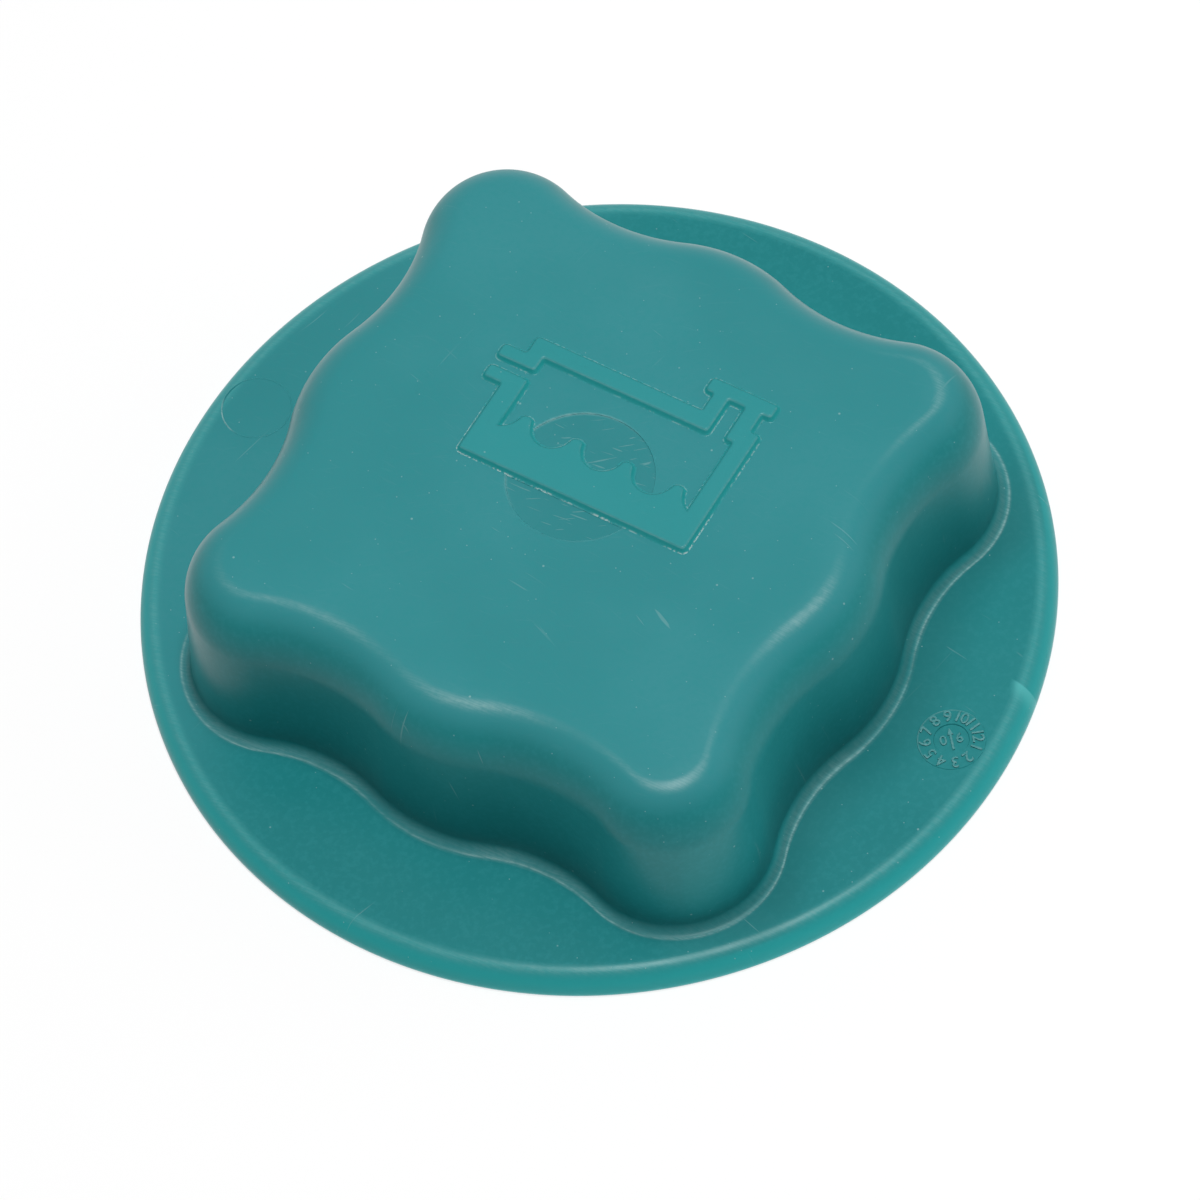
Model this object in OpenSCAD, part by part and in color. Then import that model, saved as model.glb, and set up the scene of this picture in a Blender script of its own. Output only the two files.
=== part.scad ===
// Screw-on pressure cap for a coolant expansion tank.
// A four-lobed hand grip stands on a wide flange. The neck thread is inside the grip, and a
// cartridge with a pressure valve and a vacuum valve is snapped under the grip's roof.
// Millimetres. Z is the cap's axis, up through the grip, and Z = 0 is the flange's underside.

/* [Neck socket] */
// Root diameter of the neck thread inside the grip
thread_root_d = 49; // [45:0.5:54]
// Wall of the threaded socket where the lobe pockets bare it
socket_wall = 2.3; // [1.8:0.1:3]
// Lead-in chamfer at the socket's mouth
mouth_chamfer = 0.8; // [0.3:0.1:1.2]

/* [Grip] */
// Height of the grip above the flange
grip_h = 16.8; // [15:0.1:20]
// Thread root to the outside at the middle of a side, measured at the flange
side_wall = 4.9; // [4.5:0.1:6]
// How far the corner lobes stand out beyond the sides
lobe_reach = 7.5; // [6:0.25:9]
// Radius of the lobes' tips, measured at the flange
lobe_tip_r = 9.3; // [8:0.1:11]
// Radius of the hollows that flank the lobes
hollow_r = 15.8; // [12:0.2:20]
// Radius of the swell in the middle of each side
swell_r = 16.4; // [12:0.2:20]
// Draft of the grip's walls, in degrees
draft = 4; // [2:0.5:6]
// Fillet between the grip's wall and the flange
base_fillet = 1; // [0.6:0.1:1.5]
// Rounding of the grip's top edge
edge_round = 5; // [3.5:0.1:6]
// Wall of the lobes
lobe_wall = 2.6; // [2:0.1:3.2]
// Plastic over the lobe pockets
pocket_roof = 4.2; // [3.5:0.1:5]
// Rounding of the lobe pockets' top edge
pocket_round = 1; // [0.5:0.1:1.5]
// Plastic over the valve cartridge
roof_t = 3; // [2.5:0.1:3.5]

/* [Flange] */
// Thickness of the flange
flange_t = 2.2; // [1.9:0.1:3]
// Flange beyond the tips of the lobes
flange_margin = 3.1; // [2.4:0.1:6]
// Rounding of the flange's upper rim
rim_round = 1.75; // [1:0.05:1.8]

/* [Cartridge seat] */
// Height of the collar and ribs under the roof that the cartridge seats on
collar_h = 2.8; // [2.4:0.1:3.2]
// Wall of the collar
collar_wall = 2.2; // [1.6:0.1:3]
// Thickness of the ribs round the collar
rib_t = 1.5; // [1:0.1:2]
// Number of ribs round the collar
rib_count = 8; // [4:4:12]
// Width of the vent slots through the collar
vent_slot_w = 3; // [2:0.5:4]
// Ledge between the thread and the ribs
ledge_w = 2; // [1.5:0.1:2.5]

/* [Valve housing] */
// Outside diameter of the housing's tube, which enters the neck
tube_d = 32; // [30:0.5:34]
// Wall of the housing's tube
tube_wall = 2; // [1.6:0.1:2.4]
// Depth of the housing below its seat
housing_depth = 12.6; // [12:0.1:16]
// Thickness of the housing's flange
housing_flange_t = 1.4; // [1.2:0.1:2]
// Thickness of the housing's floor
housing_floor_t = 1.6; // [1.2:0.1:2]
// Diameter of the inlet port in the floor
port_d = 16; // [15:0.5:17]
// Height of the sealing bead round the port
seat_bead_h = 0.6; // [0.4:0.1:1]
// Width of the sealing bead round the port
seat_bead_w = 1.2; // [0.8:0.1:1.6]
// Chamfer of the tube's lower end
tube_chamfer = 1; // [0.5:0.1:1.2]
// Height of the snap bead on the housing's sleeve
snap_bead_h = 0.8; // [0.6:0.1:1]
// How far the snap bead stands out
snap_bead_out = 0.4; // [0.3:0.05:0.6]
// Thickness of the lip that holds the spring cover
lip_t = 0.5; // [0.4:0.1:0.7]
// How far that lip reaches inwards
lip_in = 0.7; // [0.5:0.1:1]
// Thickness of the ribs that guide the pressure plate
guide_t = 1.6; // [1.2:0.1:2]
// Number of guide ribs
guide_count = 6; // [3:1:8]

/* [Neck gasket] */
// Thickness of the gasket that seals on the neck's rim
gasket_t = 2; // [1.5:0.1:2.5]
// How far the gasket's hub on the housing stands out from the tube
gasket_hub = 1.2; // [0.8:0.1:1.6]
// How much of the gasket's bore the hub leaves free
gasket_hub_short = 0.4; // [0.2:0.1:0.6]

/* [Pressure valve] */
// Diameter of the rubber pressure seal
seal_d = 23; // [22:0.1:24]
// Thickness of the pressure seal
seal_t = 1.4; // [1:0.1:2]
// Diameter of the pressure seal's hole
seal_hole_d = 9; // [8:0.1:9.6]
// Thickness of the pressure plate
plate_t = 1.6; // [1.2:0.1:2]
// Wall of the rim that holds the seal in the plate
plate_rim_w = 1; // [0.8:0.1:1.2]
// How much of the seal's edge stays below the plate's rim
seal_proud = 0.6; // [0.3:0.1:0.7]
// Lift of the pressure valve, which the guide ribs allow for
pressure_lift = 2; // [1:0.1:2.2]

/* [Pressure spring] */
// Mean diameter of the pressure spring
pressure_coil_d = 18; // [17:0.5:19]
// Wire of the pressure spring
pressure_wire = 1.4; // [1:0.05:1.5]
// Turns of the pressure spring
pressure_turns = 3.75; // [3:0.25:4]
// Height of the rings that centre the spring
spring_ring_h = 1.2; // [0.8:0.1:1.4]
// Wall of those rings
spring_ring_w = 1; // [0.8:0.1:1.2]

/* [Spring cover] */
// Thickness of the spring cover
cover_t = 1.2; // [1:0.1:1.6]
// Diameter of the vents in the cover
cover_vent_d = 3; // [2:0.1:3.4]
// Number of vents in the cover
cover_vent_count = 6; // [3:1:6]
// Diameter of the circle that the vents lie on
cover_vent_circle_d = 8.6; // [7.5:0.1:9.5]

/* [Vacuum valve] */
// Diameter of the poppet's head
poppet_head_d = 11.6; // [11:0.1:12.4]
// Thickness of the poppet's head
poppet_head_t = 1.2; // [0.8:0.1:1.4]
// Edge chamfer of the poppet's head
poppet_chamfer = 0.4; // [0.2:0.1:0.5]
// Diameter of the poppet's stem
stem_d = 3; // [2.6:0.1:3.2]
// Diameter of the air holes in the pressure plate
air_hole_d = 1.5; // [1:0.1:1.6]
// Number of air holes
air_hole_count = 6; // [3:1:6]
// Length of the vacuum spring when it is in place
vacuum_spring_l = 3.6; // [3.2:0.1:4.2]
// Wire of the vacuum spring
vacuum_wire = 0.5; // [0.35:0.05:0.55]
// Turns of the vacuum spring
vacuum_turns = 4; // [3:0.25:4.5]
// Thickness of the clip on the stem
clip_t = 0.8; // [0.6:0.1:1]
// Number of tongues that grip the stem
clip_tongues = 3; // [3:1:5]
// Diameter of the reliefs between the tongues
clip_relief_d = 0.7; // [0.5:0.05:0.9]
// Stem that stands above the clip
stem_tip = 0.6; // [0.3:0.1:1]

/* [Fits] */
// Gap round pieces that snap or drop into each other
fit_gap = 0.1; // [0.05:0.05:0.15]
// Gap round pieces that slide
slide_gap = 0.25; // [0.2:0.05:0.35]
// Gap round the stem in the pressure plate
stem_gap = 0.08; // [0.05:0.01:0.1]
// Gap between the gasket's edge and the thread
gasket_gap = 0.3; // [0.2:0.05:0.5]
// Gap between the housing's flange and the thread
vent_gap = 0.8; // [0.5:0.1:1.2]
// Gap between the housing's sleeve and the roof
roof_gap = 0.4; // [0.3:0.1:0.6]

/* [Hidden] */

// Facets
round_fn = 96;
lobe_steps = 5;
hollow_steps = 4;
swell_steps = 3;
fillet_steps = 3;
round_steps = 7;
coil_steps = 24;
coil_sides = 8;
over = 1;

// Gap between the closed end turns of a spring, in wire diameters
close_gap = 0.1;

// Radii of the shell
thread_r = thread_root_d / 2;
side_r = thread_r + side_wall;
lobe_r = side_r + lobe_reach;
flange_r = lobe_r + flange_margin;
socket_r = thread_r + socket_wall;
rib_cavity_r = thread_r - ledge_w;

// Radii of the cartridge
tube_r = tube_d / 2;
chamber_r = tube_r - tube_wall;
collar_r = tube_r + fit_gap;
gasket_hub_r = tube_r + gasket_hub;
gasket_in_r = gasket_hub_r + fit_gap;
gasket_out_r = thread_r - gasket_gap;
housing_flange_r = thread_r - vent_gap;
port_r = port_d / 2;
seal_r = seal_d / 2;
plate_bore_r = seal_r + fit_gap;
plate_r = plate_bore_r + plate_rim_w;
stem_r = stem_d / 2;
stem_bore_r = stem_r + stem_gap;
pressure_coil_r = pressure_coil_d / 2;
spring_ring_r = pressure_coil_r - pressure_wire / 2 - slide_gap;
cover_r = chamber_r - fit_gap;
vacuum_coil_r = stem_r + slide_gap + vacuum_wire / 2;
clip_r = vacuum_coil_r + vacuum_wire;
air_circle_r = (stem_bore_r + seal_hole_d / 2) / 2;

// Levels, from the roof down to the housing's floor and from there up the valve
roof_z = flange_t + grip_h;
ceiling_z = roof_z - roof_t;
seat_z = ceiling_z - collar_h;
gasket_top_z = seat_z - housing_flange_t;
gasket_z = gasket_top_z - gasket_t;
pocket_top_z = roof_z - pocket_roof;
housing_z = seat_z - housing_depth;
floor_top_z = housing_z + housing_floor_t;
seal_z = floor_top_z + seat_bead_h;
plate_z = seal_z + seal_t;
plate_top_z = plate_z + plate_t;
sleeve_top_z = ceiling_z - roof_gap;
cover_top_z = sleeve_top_z - lip_t;
cover_z = cover_top_z - cover_t;
snap_z = (seat_z + sleeve_top_z) / 2;
clip_z = plate_top_z + vacuum_spring_l;
stem_top_z = clip_z + clip_t + stem_tip;

// Section of the grip's wall as [inset from the outline at the flange, height above the flange]:
// a concave fillet, the drafted wall and the rounded top edge, each tangent to the next
wall_foot = [base_fillet * cos(draft), base_fillet * (1 - sin(draft))];
wall_head_z = grip_h - edge_round * (1 - sin(draft));
wall_head = [wall_foot.x + (wall_head_z - wall_foot.y) * tan(draft), wall_head_z];
edge_centre = [wall_head.x + edge_round * cos(draft), grip_h - edge_round];
grip_section = concat(
    [[0, -flange_t / 2]],
    [for (k = [0:fillet_steps - 1])
        let (a = (90 - draft) * k / fillet_steps)
        [base_fillet * sin(a), base_fillet * (1 - cos(a))]],
    [wall_foot],
    [for (k = [0:round_steps])
        let (a = draft + (90 - draft) * k / round_steps)
        [edge_centre.x - edge_round * cos(a), edge_centre.y + edge_round * sin(a)]]
);

// Section of the lobe pockets, in the same terms, with the walls' own draft
pocket_h = pocket_top_z - flange_t;
function pocket_inset(z) = wall_foot.x + lobe_wall + max(0, z) * tan(draft);
pocket_section = [
    [pocket_inset(-flange_t), -flange_t - over],
    [pocket_inset(0), 0],
    [pocket_inset(pocket_h - pocket_round), pocket_h - pocket_round],
    [pocket_inset(pocket_h) + pocket_round * (1 - cos(45)), pocket_h - pocket_round * (1 - sin(45))],
    [pocket_inset(pocket_h) + pocket_round, pocket_h]
];

// Outline of the grip at the flange, in tangent arcs: lobes on the X and Y axes, a swell at 45
// degrees and a hollow between them, whose centre is where the other two arcs' reach meets
lobe_c = [lobe_r - lobe_tip_r, 0];
swell_c = (side_r - swell_r) * heading(45);
lobe_to_swell = swell_c - lobe_c;
span = norm(lobe_to_swell);
lobe_reach_c = lobe_tip_r + hollow_r;
swell_reach_c = swell_r + hollow_r;
along = (lobe_reach_c ^ 2 - swell_reach_c ^ 2 + span ^ 2) / (2 * span);
aside = sqrt(lobe_reach_c ^ 2 - along ^ 2);
hollow_c = lobe_c + (along * lobe_to_swell + aside * [lobe_to_swell.y, -lobe_to_swell.x]) / span;
lobe_end = bearing(hollow_c - lobe_c);
swell_start = bearing(hollow_c - swell_c);

function heading(a) = [cos(a), sin(a)];

function bearing(v) = atan2(v.y, v.x);

// Points of an arc from one bearing towards another, without the last
function arc(centre, radius, from, to, steps) = [
    for (k = [0:steps - 1]) centre + radius * heading(from + (to - from) * k / steps)
];

// From a lobe's tip to just short of the middle of a side, drawn in by the inset
function eighth(inset) = concat(
    arc(lobe_c, lobe_tip_r - inset, 0, lobe_end, lobe_steps),
    arc(hollow_c, -hollow_r - inset, lobe_end, swell_start, hollow_steps),
    arc(swell_c, swell_r - inset, swell_start, 45, swell_steps)
);

function quarter(inset) =
    let (half = eighth(inset))
    concat(
        half,
        [swell_c + (swell_r - inset) * heading(45)],
        [for (k = [len(half) - 1:-1:1]) [half[k].y, half[k].x]]
    );

function outline_ring(inset, z) =
    let (points = quarter(inset))
    [for (turn = [0:90:270], p = points)
        [p.x * cos(turn) - p.y * sin(turn), p.x * sin(turn) + p.y * cos(turn), z]];

// Closed skin over rings of equal length, each seen anticlockwise from the last ring's side
module loft(rings) {
    n = len(rings[0]);
    last = len(rings) - 1;
    foot = (last + 1) * n;
    function middle(ring) = [for (p = ring) 1] * ring / n;
    polyhedron(
        points = concat([for (ring = rings) each ring], [middle(rings[0]), middle(rings[last])]),
        faces = concat(
            [for (i = [0:n - 1]) [foot, i, (i + 1) % n]],
            [for (k = [0:last - 1], i = [0:n - 1]) [k * n + i, (k + 1) * n + i, k * n + (i + 1) % n]],
            [for (k = [0:last - 1], i = [0:n - 1])
                [k * n + (i + 1) % n, (k + 1) * n + i, (k + 1) * n + (i + 1) % n]],
            [for (i = [0:n - 1]) [foot + 1, last * n + (i + 1) % n, last * n + i]]
        )
    );
}

// Compression spring between two levels, with its closed ends ground flat
module coil_spring(coil_r, wire, z, length, turns) {
    steps = ceil(turns * coil_steps);
    close_pitch = wire + close_gap * wire;
    open_pitch = (length - 2 * close_pitch) / (turns - 2);
    function rise(t) =
        t < 1 ? t * close_pitch
        : t > turns - 1 ? length - (turns - t) * close_pitch
        : close_pitch + (t - 1) * open_pitch;
    function wire_ring(t) = [
        for (i = [0:coil_sides - 1])
            let (a = -360 * (i + 0.5) / coil_sides, r = coil_r + wire / 2 * cos(a))
            [r * cos(360 * t), r * sin(360 * t), z + rise(t) + wire / 2 * sin(a)]
    ];
    intersection() {
        loft([for (k = [0:steps]) wire_ring(turns * k / steps)]);
        translate([0, 0, z]) cylinder(r = coil_r + wire, h = length, $fn = round_fn);
    }
}

// Copies of a piece at equal angles round the axis
module ring_of(count, radius) {
    for (i = [0:count - 1])
        rotate(360 * i / count) translate([radius, 0, 0]) children();
}

// The shell: grip, flange and threaded socket, moulded in one
module flange_disc() {
    rotate_extrude($fn = round_fn) {
        square([flange_r - rim_round, flange_t]);
        square([flange_r, flange_t - rim_round]);
        translate([flange_r - rim_round, flange_t - rim_round]) intersection() {
            circle(r = rim_round, $fn = round_fn);
            square(rim_round);
        }
    }
}

module grip_body() {
    loft([for (s = grip_section) outline_ring(s[0], flange_t + s[1])]);
}

module lobe_pockets() {
    difference() {
        loft([for (s = pocket_section) outline_ring(s[0], flange_t + s[1])]);
        translate([0, 0, -2 * over])
            cylinder(r = socket_r, h = roof_z + 3 * over, $fn = round_fn);
    }
}

module socket_bore() {
    translate([0, 0, -over]) cylinder(r = thread_r, h = seat_z + over, $fn = round_fn);
    translate([0, 0, -over])
        cylinder(
            r1 = thread_r + mouth_chamfer + over, r2 = thread_r,
            h = mouth_chamfer + over, $fn = round_fn
        );
}

// The room above the cartridge, less the collar and ribs that the cartridge seats on
module roof_room() {
    room_h = collar_h + over;
    groove_r = tube_r + snap_bead_out + fit_gap;
    groove_h = snap_bead_h + 2 * fit_gap;
    translate([0, 0, seat_z - over]) difference() {
        cylinder(r = rib_cavity_r, h = room_h, $fn = round_fn);
        difference() {
            translate([0, 0, -over])
                cylinder(r = collar_r + collar_wall, h = room_h + 2 * over, $fn = round_fn);
            translate([0, 0, -2 * over])
                cylinder(r = collar_r, h = room_h + 4 * over, $fn = round_fn);
            for (i = [0:rib_count / 2 - 1])
                rotate(180 / rib_count + 360 * i / (rib_count / 2))
                    translate([collar_r - over, -vent_slot_w / 2, -2 * over])
                        cube([collar_wall + 2 * over, vent_slot_w, room_h + 4 * over]);
        }
        ring_of(rib_count, collar_r + collar_wall / 2)
            translate([0, -rib_t / 2, -over])
                cube([rib_cavity_r - collar_r, rib_t, room_h + 2 * over]);
    }
    translate([0, 0, snap_z - groove_h / 2]) cylinder(r = groove_r, h = groove_h, $fn = round_fn);
}

module cap_shell() {
    color([0.13, 0.48, 0.5]) difference() {
        union() {
            flange_disc();
            grip_body();
        }
        lobe_pockets();
        socket_bore();
        roof_room();
    }
}

// The gasket that the neck's rim presses on
module neck_gasket() {
    color([0.09, 0.09, 0.1]) translate([0, 0, gasket_z]) difference() {
        cylinder(r = gasket_out_r, h = gasket_t, $fn = round_fn);
        translate([0, 0, -over]) cylinder(r = gasket_in_r, h = gasket_t + 2 * over, $fn = round_fn);
    }
}

// The cartridge: a tube with a floor, a flange that seats under the collar and a snap bead
module housing_section() {
    hub_z = gasket_z + gasket_hub_short;
    snap_low = snap_z - snap_bead_h / 2;
    snap_high = snap_z + snap_bead_h / 2;
    polygon([
        [port_r, housing_z],
        [tube_r - tube_chamfer, housing_z],
        [tube_r, housing_z + tube_chamfer],
        [tube_r, hub_z],
        [gasket_hub_r, hub_z],
        [gasket_hub_r, gasket_top_z],
        [housing_flange_r, gasket_top_z],
        [housing_flange_r, seat_z],
        [tube_r, seat_z],
        [tube_r, snap_low],
        [tube_r + snap_bead_out, snap_z],
        [tube_r, snap_high],
        [tube_r, sleeve_top_z],
        [chamber_r - lip_in, sleeve_top_z],
        [chamber_r - lip_in, cover_top_z],
        [chamber_r, cover_top_z],
        [chamber_r, floor_top_z],
        [port_r + seat_bead_w, floor_top_z],
        [port_r + seat_bead_w, seal_z],
        [port_r, seal_z]
    ]);
}

module valve_housing() {
    guide_r = plate_r + slide_gap;
    guide_z = floor_top_z - housing_floor_t / 2;
    guide_top_z = plate_top_z + pressure_lift;
    color([0.1, 0.1, 0.11]) {
        rotate_extrude($fn = round_fn) housing_section();
        ring_of(guide_count, guide_r)
            translate([0, -guide_t / 2, guide_z])
                cube([chamber_r + tube_wall / 2 - guide_r, guide_t, guide_top_z - guide_z]);
    }
}

// A ring that centres the end of the pressure spring
module spring_ring() {
    difference() {
        cylinder(r = spring_ring_r, h = spring_ring_h, $fn = round_fn);
        translate([0, 0, -over])
            cylinder(r = spring_ring_r - spring_ring_w, h = spring_ring_h + 2 * over, $fn = round_fn);
    }
}

module spring_cover() {
    color([0.86, 0.85, 0.8]) difference() {
        union() {
            translate([0, 0, cover_z]) cylinder(r = cover_r, h = cover_t, $fn = round_fn);
            translate([0, 0, cover_z - spring_ring_h]) spring_ring();
        }
        ring_of(cover_vent_count, cover_vent_circle_d / 2)
            translate([0, 0, cover_z - over])
                cylinder(d = cover_vent_d, h = cover_t + 2 * over, $fn = round_fn);
    }
}

module pressure_spring() {
    color([0.72, 0.73, 0.75])
        coil_spring(pressure_coil_r, pressure_wire, plate_top_z, cover_z - plate_top_z, pressure_turns);
}

// The plate that carries the pressure seal, with air holes for the vacuum valve
module pressure_plate() {
    color([0.86, 0.85, 0.8]) difference() {
        union() {
            rotate_extrude($fn = round_fn) polygon([
                [stem_bore_r, plate_z],
                [plate_bore_r, plate_z],
                [plate_bore_r, seal_z + seal_proud],
                [plate_r, seal_z + seal_proud],
                [plate_r, plate_top_z],
                [stem_bore_r, plate_top_z]
            ]);
            translate([0, 0, plate_top_z]) spring_ring();
        }
        ring_of(air_hole_count, air_circle_r)
            translate([0, 0, plate_z - over])
                cylinder(d = air_hole_d, h = plate_t + 2 * over, $fn = round_fn);
    }
}

module pressure_seal() {
    color([0.09, 0.09, 0.1]) translate([0, 0, seal_z]) difference() {
        cylinder(r = seal_r, h = seal_t, $fn = round_fn);
        translate([0, 0, -over]) cylinder(d = seal_hole_d, h = seal_t + 2 * over, $fn = round_fn);
    }
}

// The vacuum valve: its head closes the seal's hole from below
module vacuum_poppet() {
    head_r = poppet_head_d / 2;
    head_z = seal_z - poppet_head_t;
    color([0.75, 0.6, 0.3]) rotate_extrude($fn = round_fn) polygon([
        [0, head_z],
        [head_r - poppet_chamfer, head_z],
        [head_r, head_z + poppet_chamfer],
        [head_r, seal_z],
        [stem_r, seal_z],
        [stem_r, stem_top_z - stem_tip / 2],
        [stem_r - stem_tip / 2, stem_top_z],
        [0, stem_top_z]
    ]);
}

module vacuum_spring() {
    color([0.72, 0.73, 0.75])
        coil_spring(vacuum_coil_r, vacuum_wire, plate_top_z, vacuum_spring_l, vacuum_turns);
}

// Push-on clip whose tongues grip the stem above the vacuum spring
module vacuum_clip() {
    color([0.72, 0.73, 0.75]) translate([0, 0, clip_z]) difference() {
        cylinder(r = clip_r, h = clip_t, $fn = round_fn);
        translate([0, 0, -over]) cylinder(r = stem_r, h = clip_t + 2 * over, $fn = round_fn);
        ring_of(clip_tongues, stem_r)
            translate([0, 0, -over]) cylinder(d = clip_relief_d, h = clip_t + 2 * over, $fn = round_fn);
    }
}

cap_shell();
neck_gasket();
valve_housing();
spring_cover();
pressure_spring();
pressure_plate();
pressure_seal();
vacuum_poppet();
vacuum_spring();
vacuum_clip();
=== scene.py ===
"""Looks of a screw-on coolant pressure cap: teal hand grip, neck thread and sprung valve cartridge."""

import math

import bmesh
import bpy
import numpy as np
from mathutils import Matrix, Vector


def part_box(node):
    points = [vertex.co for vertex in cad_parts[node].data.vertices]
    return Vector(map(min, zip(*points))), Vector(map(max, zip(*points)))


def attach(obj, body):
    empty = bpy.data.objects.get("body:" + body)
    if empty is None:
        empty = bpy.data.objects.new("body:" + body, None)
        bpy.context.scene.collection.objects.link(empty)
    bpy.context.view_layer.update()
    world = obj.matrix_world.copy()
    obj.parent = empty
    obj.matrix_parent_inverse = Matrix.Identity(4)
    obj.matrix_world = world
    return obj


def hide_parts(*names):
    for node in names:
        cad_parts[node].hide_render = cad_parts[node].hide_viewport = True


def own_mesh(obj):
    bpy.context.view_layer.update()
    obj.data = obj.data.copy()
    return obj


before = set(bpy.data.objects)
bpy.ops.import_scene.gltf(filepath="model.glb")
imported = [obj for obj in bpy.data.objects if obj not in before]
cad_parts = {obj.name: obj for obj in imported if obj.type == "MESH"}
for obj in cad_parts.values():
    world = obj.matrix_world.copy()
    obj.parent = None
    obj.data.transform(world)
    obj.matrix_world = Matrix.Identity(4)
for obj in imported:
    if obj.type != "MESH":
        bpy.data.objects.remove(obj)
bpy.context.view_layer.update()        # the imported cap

bl_info = {
    "name": "Coolant Pressure Cap",
    "version": (1, 0, 0),
    "blender": (4, 5, 0),
    "location": "View3D > Sidebar > Pressure Cap",
    "description": "Builds a screw-on coolant pressure cap around its measured frame",
    "category": "Object",
}

MM = 0.001

# Corners of the pieces that the sizes below start from
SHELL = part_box("cap_shell")
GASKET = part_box("neck_gasket")
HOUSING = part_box("valve_housing")
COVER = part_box("spring_cover")
PRESSURE_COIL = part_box("pressure_spring")
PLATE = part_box("pressure_plate")
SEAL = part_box("pressure_seal")
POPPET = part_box("vacuum_poppet")
VACUUM_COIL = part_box("vacuum_spring")
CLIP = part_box("vacuum_clip")

# How finely round shapes are divided
LOBE_STEPS = 20
HOLLOW_STEPS = 16
SWELL_STEPS = 12
ROUND_STEPS = 26
FILLET_STEPS = 12
WALL_STEPS = 10
ROOF_STEPS = 17
RIM_STEPS = 14
TURN_STEPS = 160
CORNER_STEPS = 4
MARK_STEPS = 96
EJECTOR_STEPS = 64
HOLE_STEPS = 48
COIL_STEPS = 72
WIRE_SIDES = 18

# Edges that turn by more than this stay crisp
SHARP_ANGLE = math.radians(32)

# Rings between the grip's foot and the rim's crease, as shares of the way
FLANGE_PARTS = (0.015, 0.04, 0.08, 0.15, 0.25, 0.4, 0.55, 0.7, 0.82, 0.91, 0.965)


def length(name, description, default):
    return bpy.props.FloatProperty(
        name=name, description=description, default=default, unit="LENGTH", precision=5
    )


def plain_number(name, description, default):
    return bpy.props.FloatProperty(
        name=name, description=description, default=default, subtype="UNSIGNED"
    )


def angle(name, description, degrees):
    return bpy.props.FloatProperty(
        name=name, description=description, default=math.radians(degrees), subtype="ANGLE"
    )


def count(name, description, default):
    return bpy.props.IntProperty(name=name, description=description, default=default, min=1)


def share(name, description, default):
    return bpy.props.FloatProperty(
        name=name, description=description, default=default, min=0, max=1, subtype="FACTOR"
    )


def colour(name, description, default):
    return bpy.props.FloatVectorProperty(
        name=name, description=description, default=default, size=3, min=0, max=1, subtype="COLOR"
    )


class CapGripSizes(bpy.types.PropertyGroup):
    """Outline and section of the grip and its flange"""

    flange_r: length("Flange radius", "Outer radius of the flange", SHELL[1].x)
    roof_z: length("Roof height", "Height of the grip's roof", SHELL[1].z)
    flange_t: length("Flange thickness", "Height of the flange's upper face", 2.2 * MM)
    rim_width: length("Rim width", "Crease at the flange's edge to its widest circle", 1.75 * MM)
    rim_break: angle("Rim break", "Slope of the rim where it starts at the crease", 3)
    rim_foot: length("Rim foot", "Rounding of the flange's lower edge", 0.18 * MM)
    side_r: length("Side radius", "Axis to the middle of a side, at the flange", 29.4 * MM)
    lobe_r: length("Lobe radius", "Axis to the tip of a lobe, at the flange", 36.9 * MM)
    lobe_tip_r: length("Lobe tip radius", "Radius of the lobes' tips, at the flange", 9.3 * MM)
    hollow_r: length("Hollow radius", "Radius of the hollows that flank the lobes", 15.8 * MM)
    swell_r: length("Swell radius", "Radius of the swell in the middle of each side", 16.4 * MM)
    draft: angle("Draft", "Draft of the grip's walls", 4)
    base_fillet: length("Base fillet", "Fillet between wall and flange", 1.0 * MM)
    edge_in: length("Edge width", "How far in the rounding of the top edge reaches", 4.2 * MM)
    edge_drop: length("Edge drop", "How far down the rounding of the top edge reaches", 5.7 * MM)
    edge_flat: plain_number("Edge power", "Power of the top edge's curve: 2 is round, less is flatter", 1.9)
    dish: length("Roof dish", "How far the middle of the roof has sunk", 0.3 * MM)
    dish_start_r: length("Dish start", "Radius up to which the sunk roof is level", 17.5 * MM)
    witness_r: length("Witness radius", "Radius of the ejector's round mark on the roof", 6.4 * MM)
    witness_step: length("Witness step", "Depth of the ejector's mark", 0.05 * MM)


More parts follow.
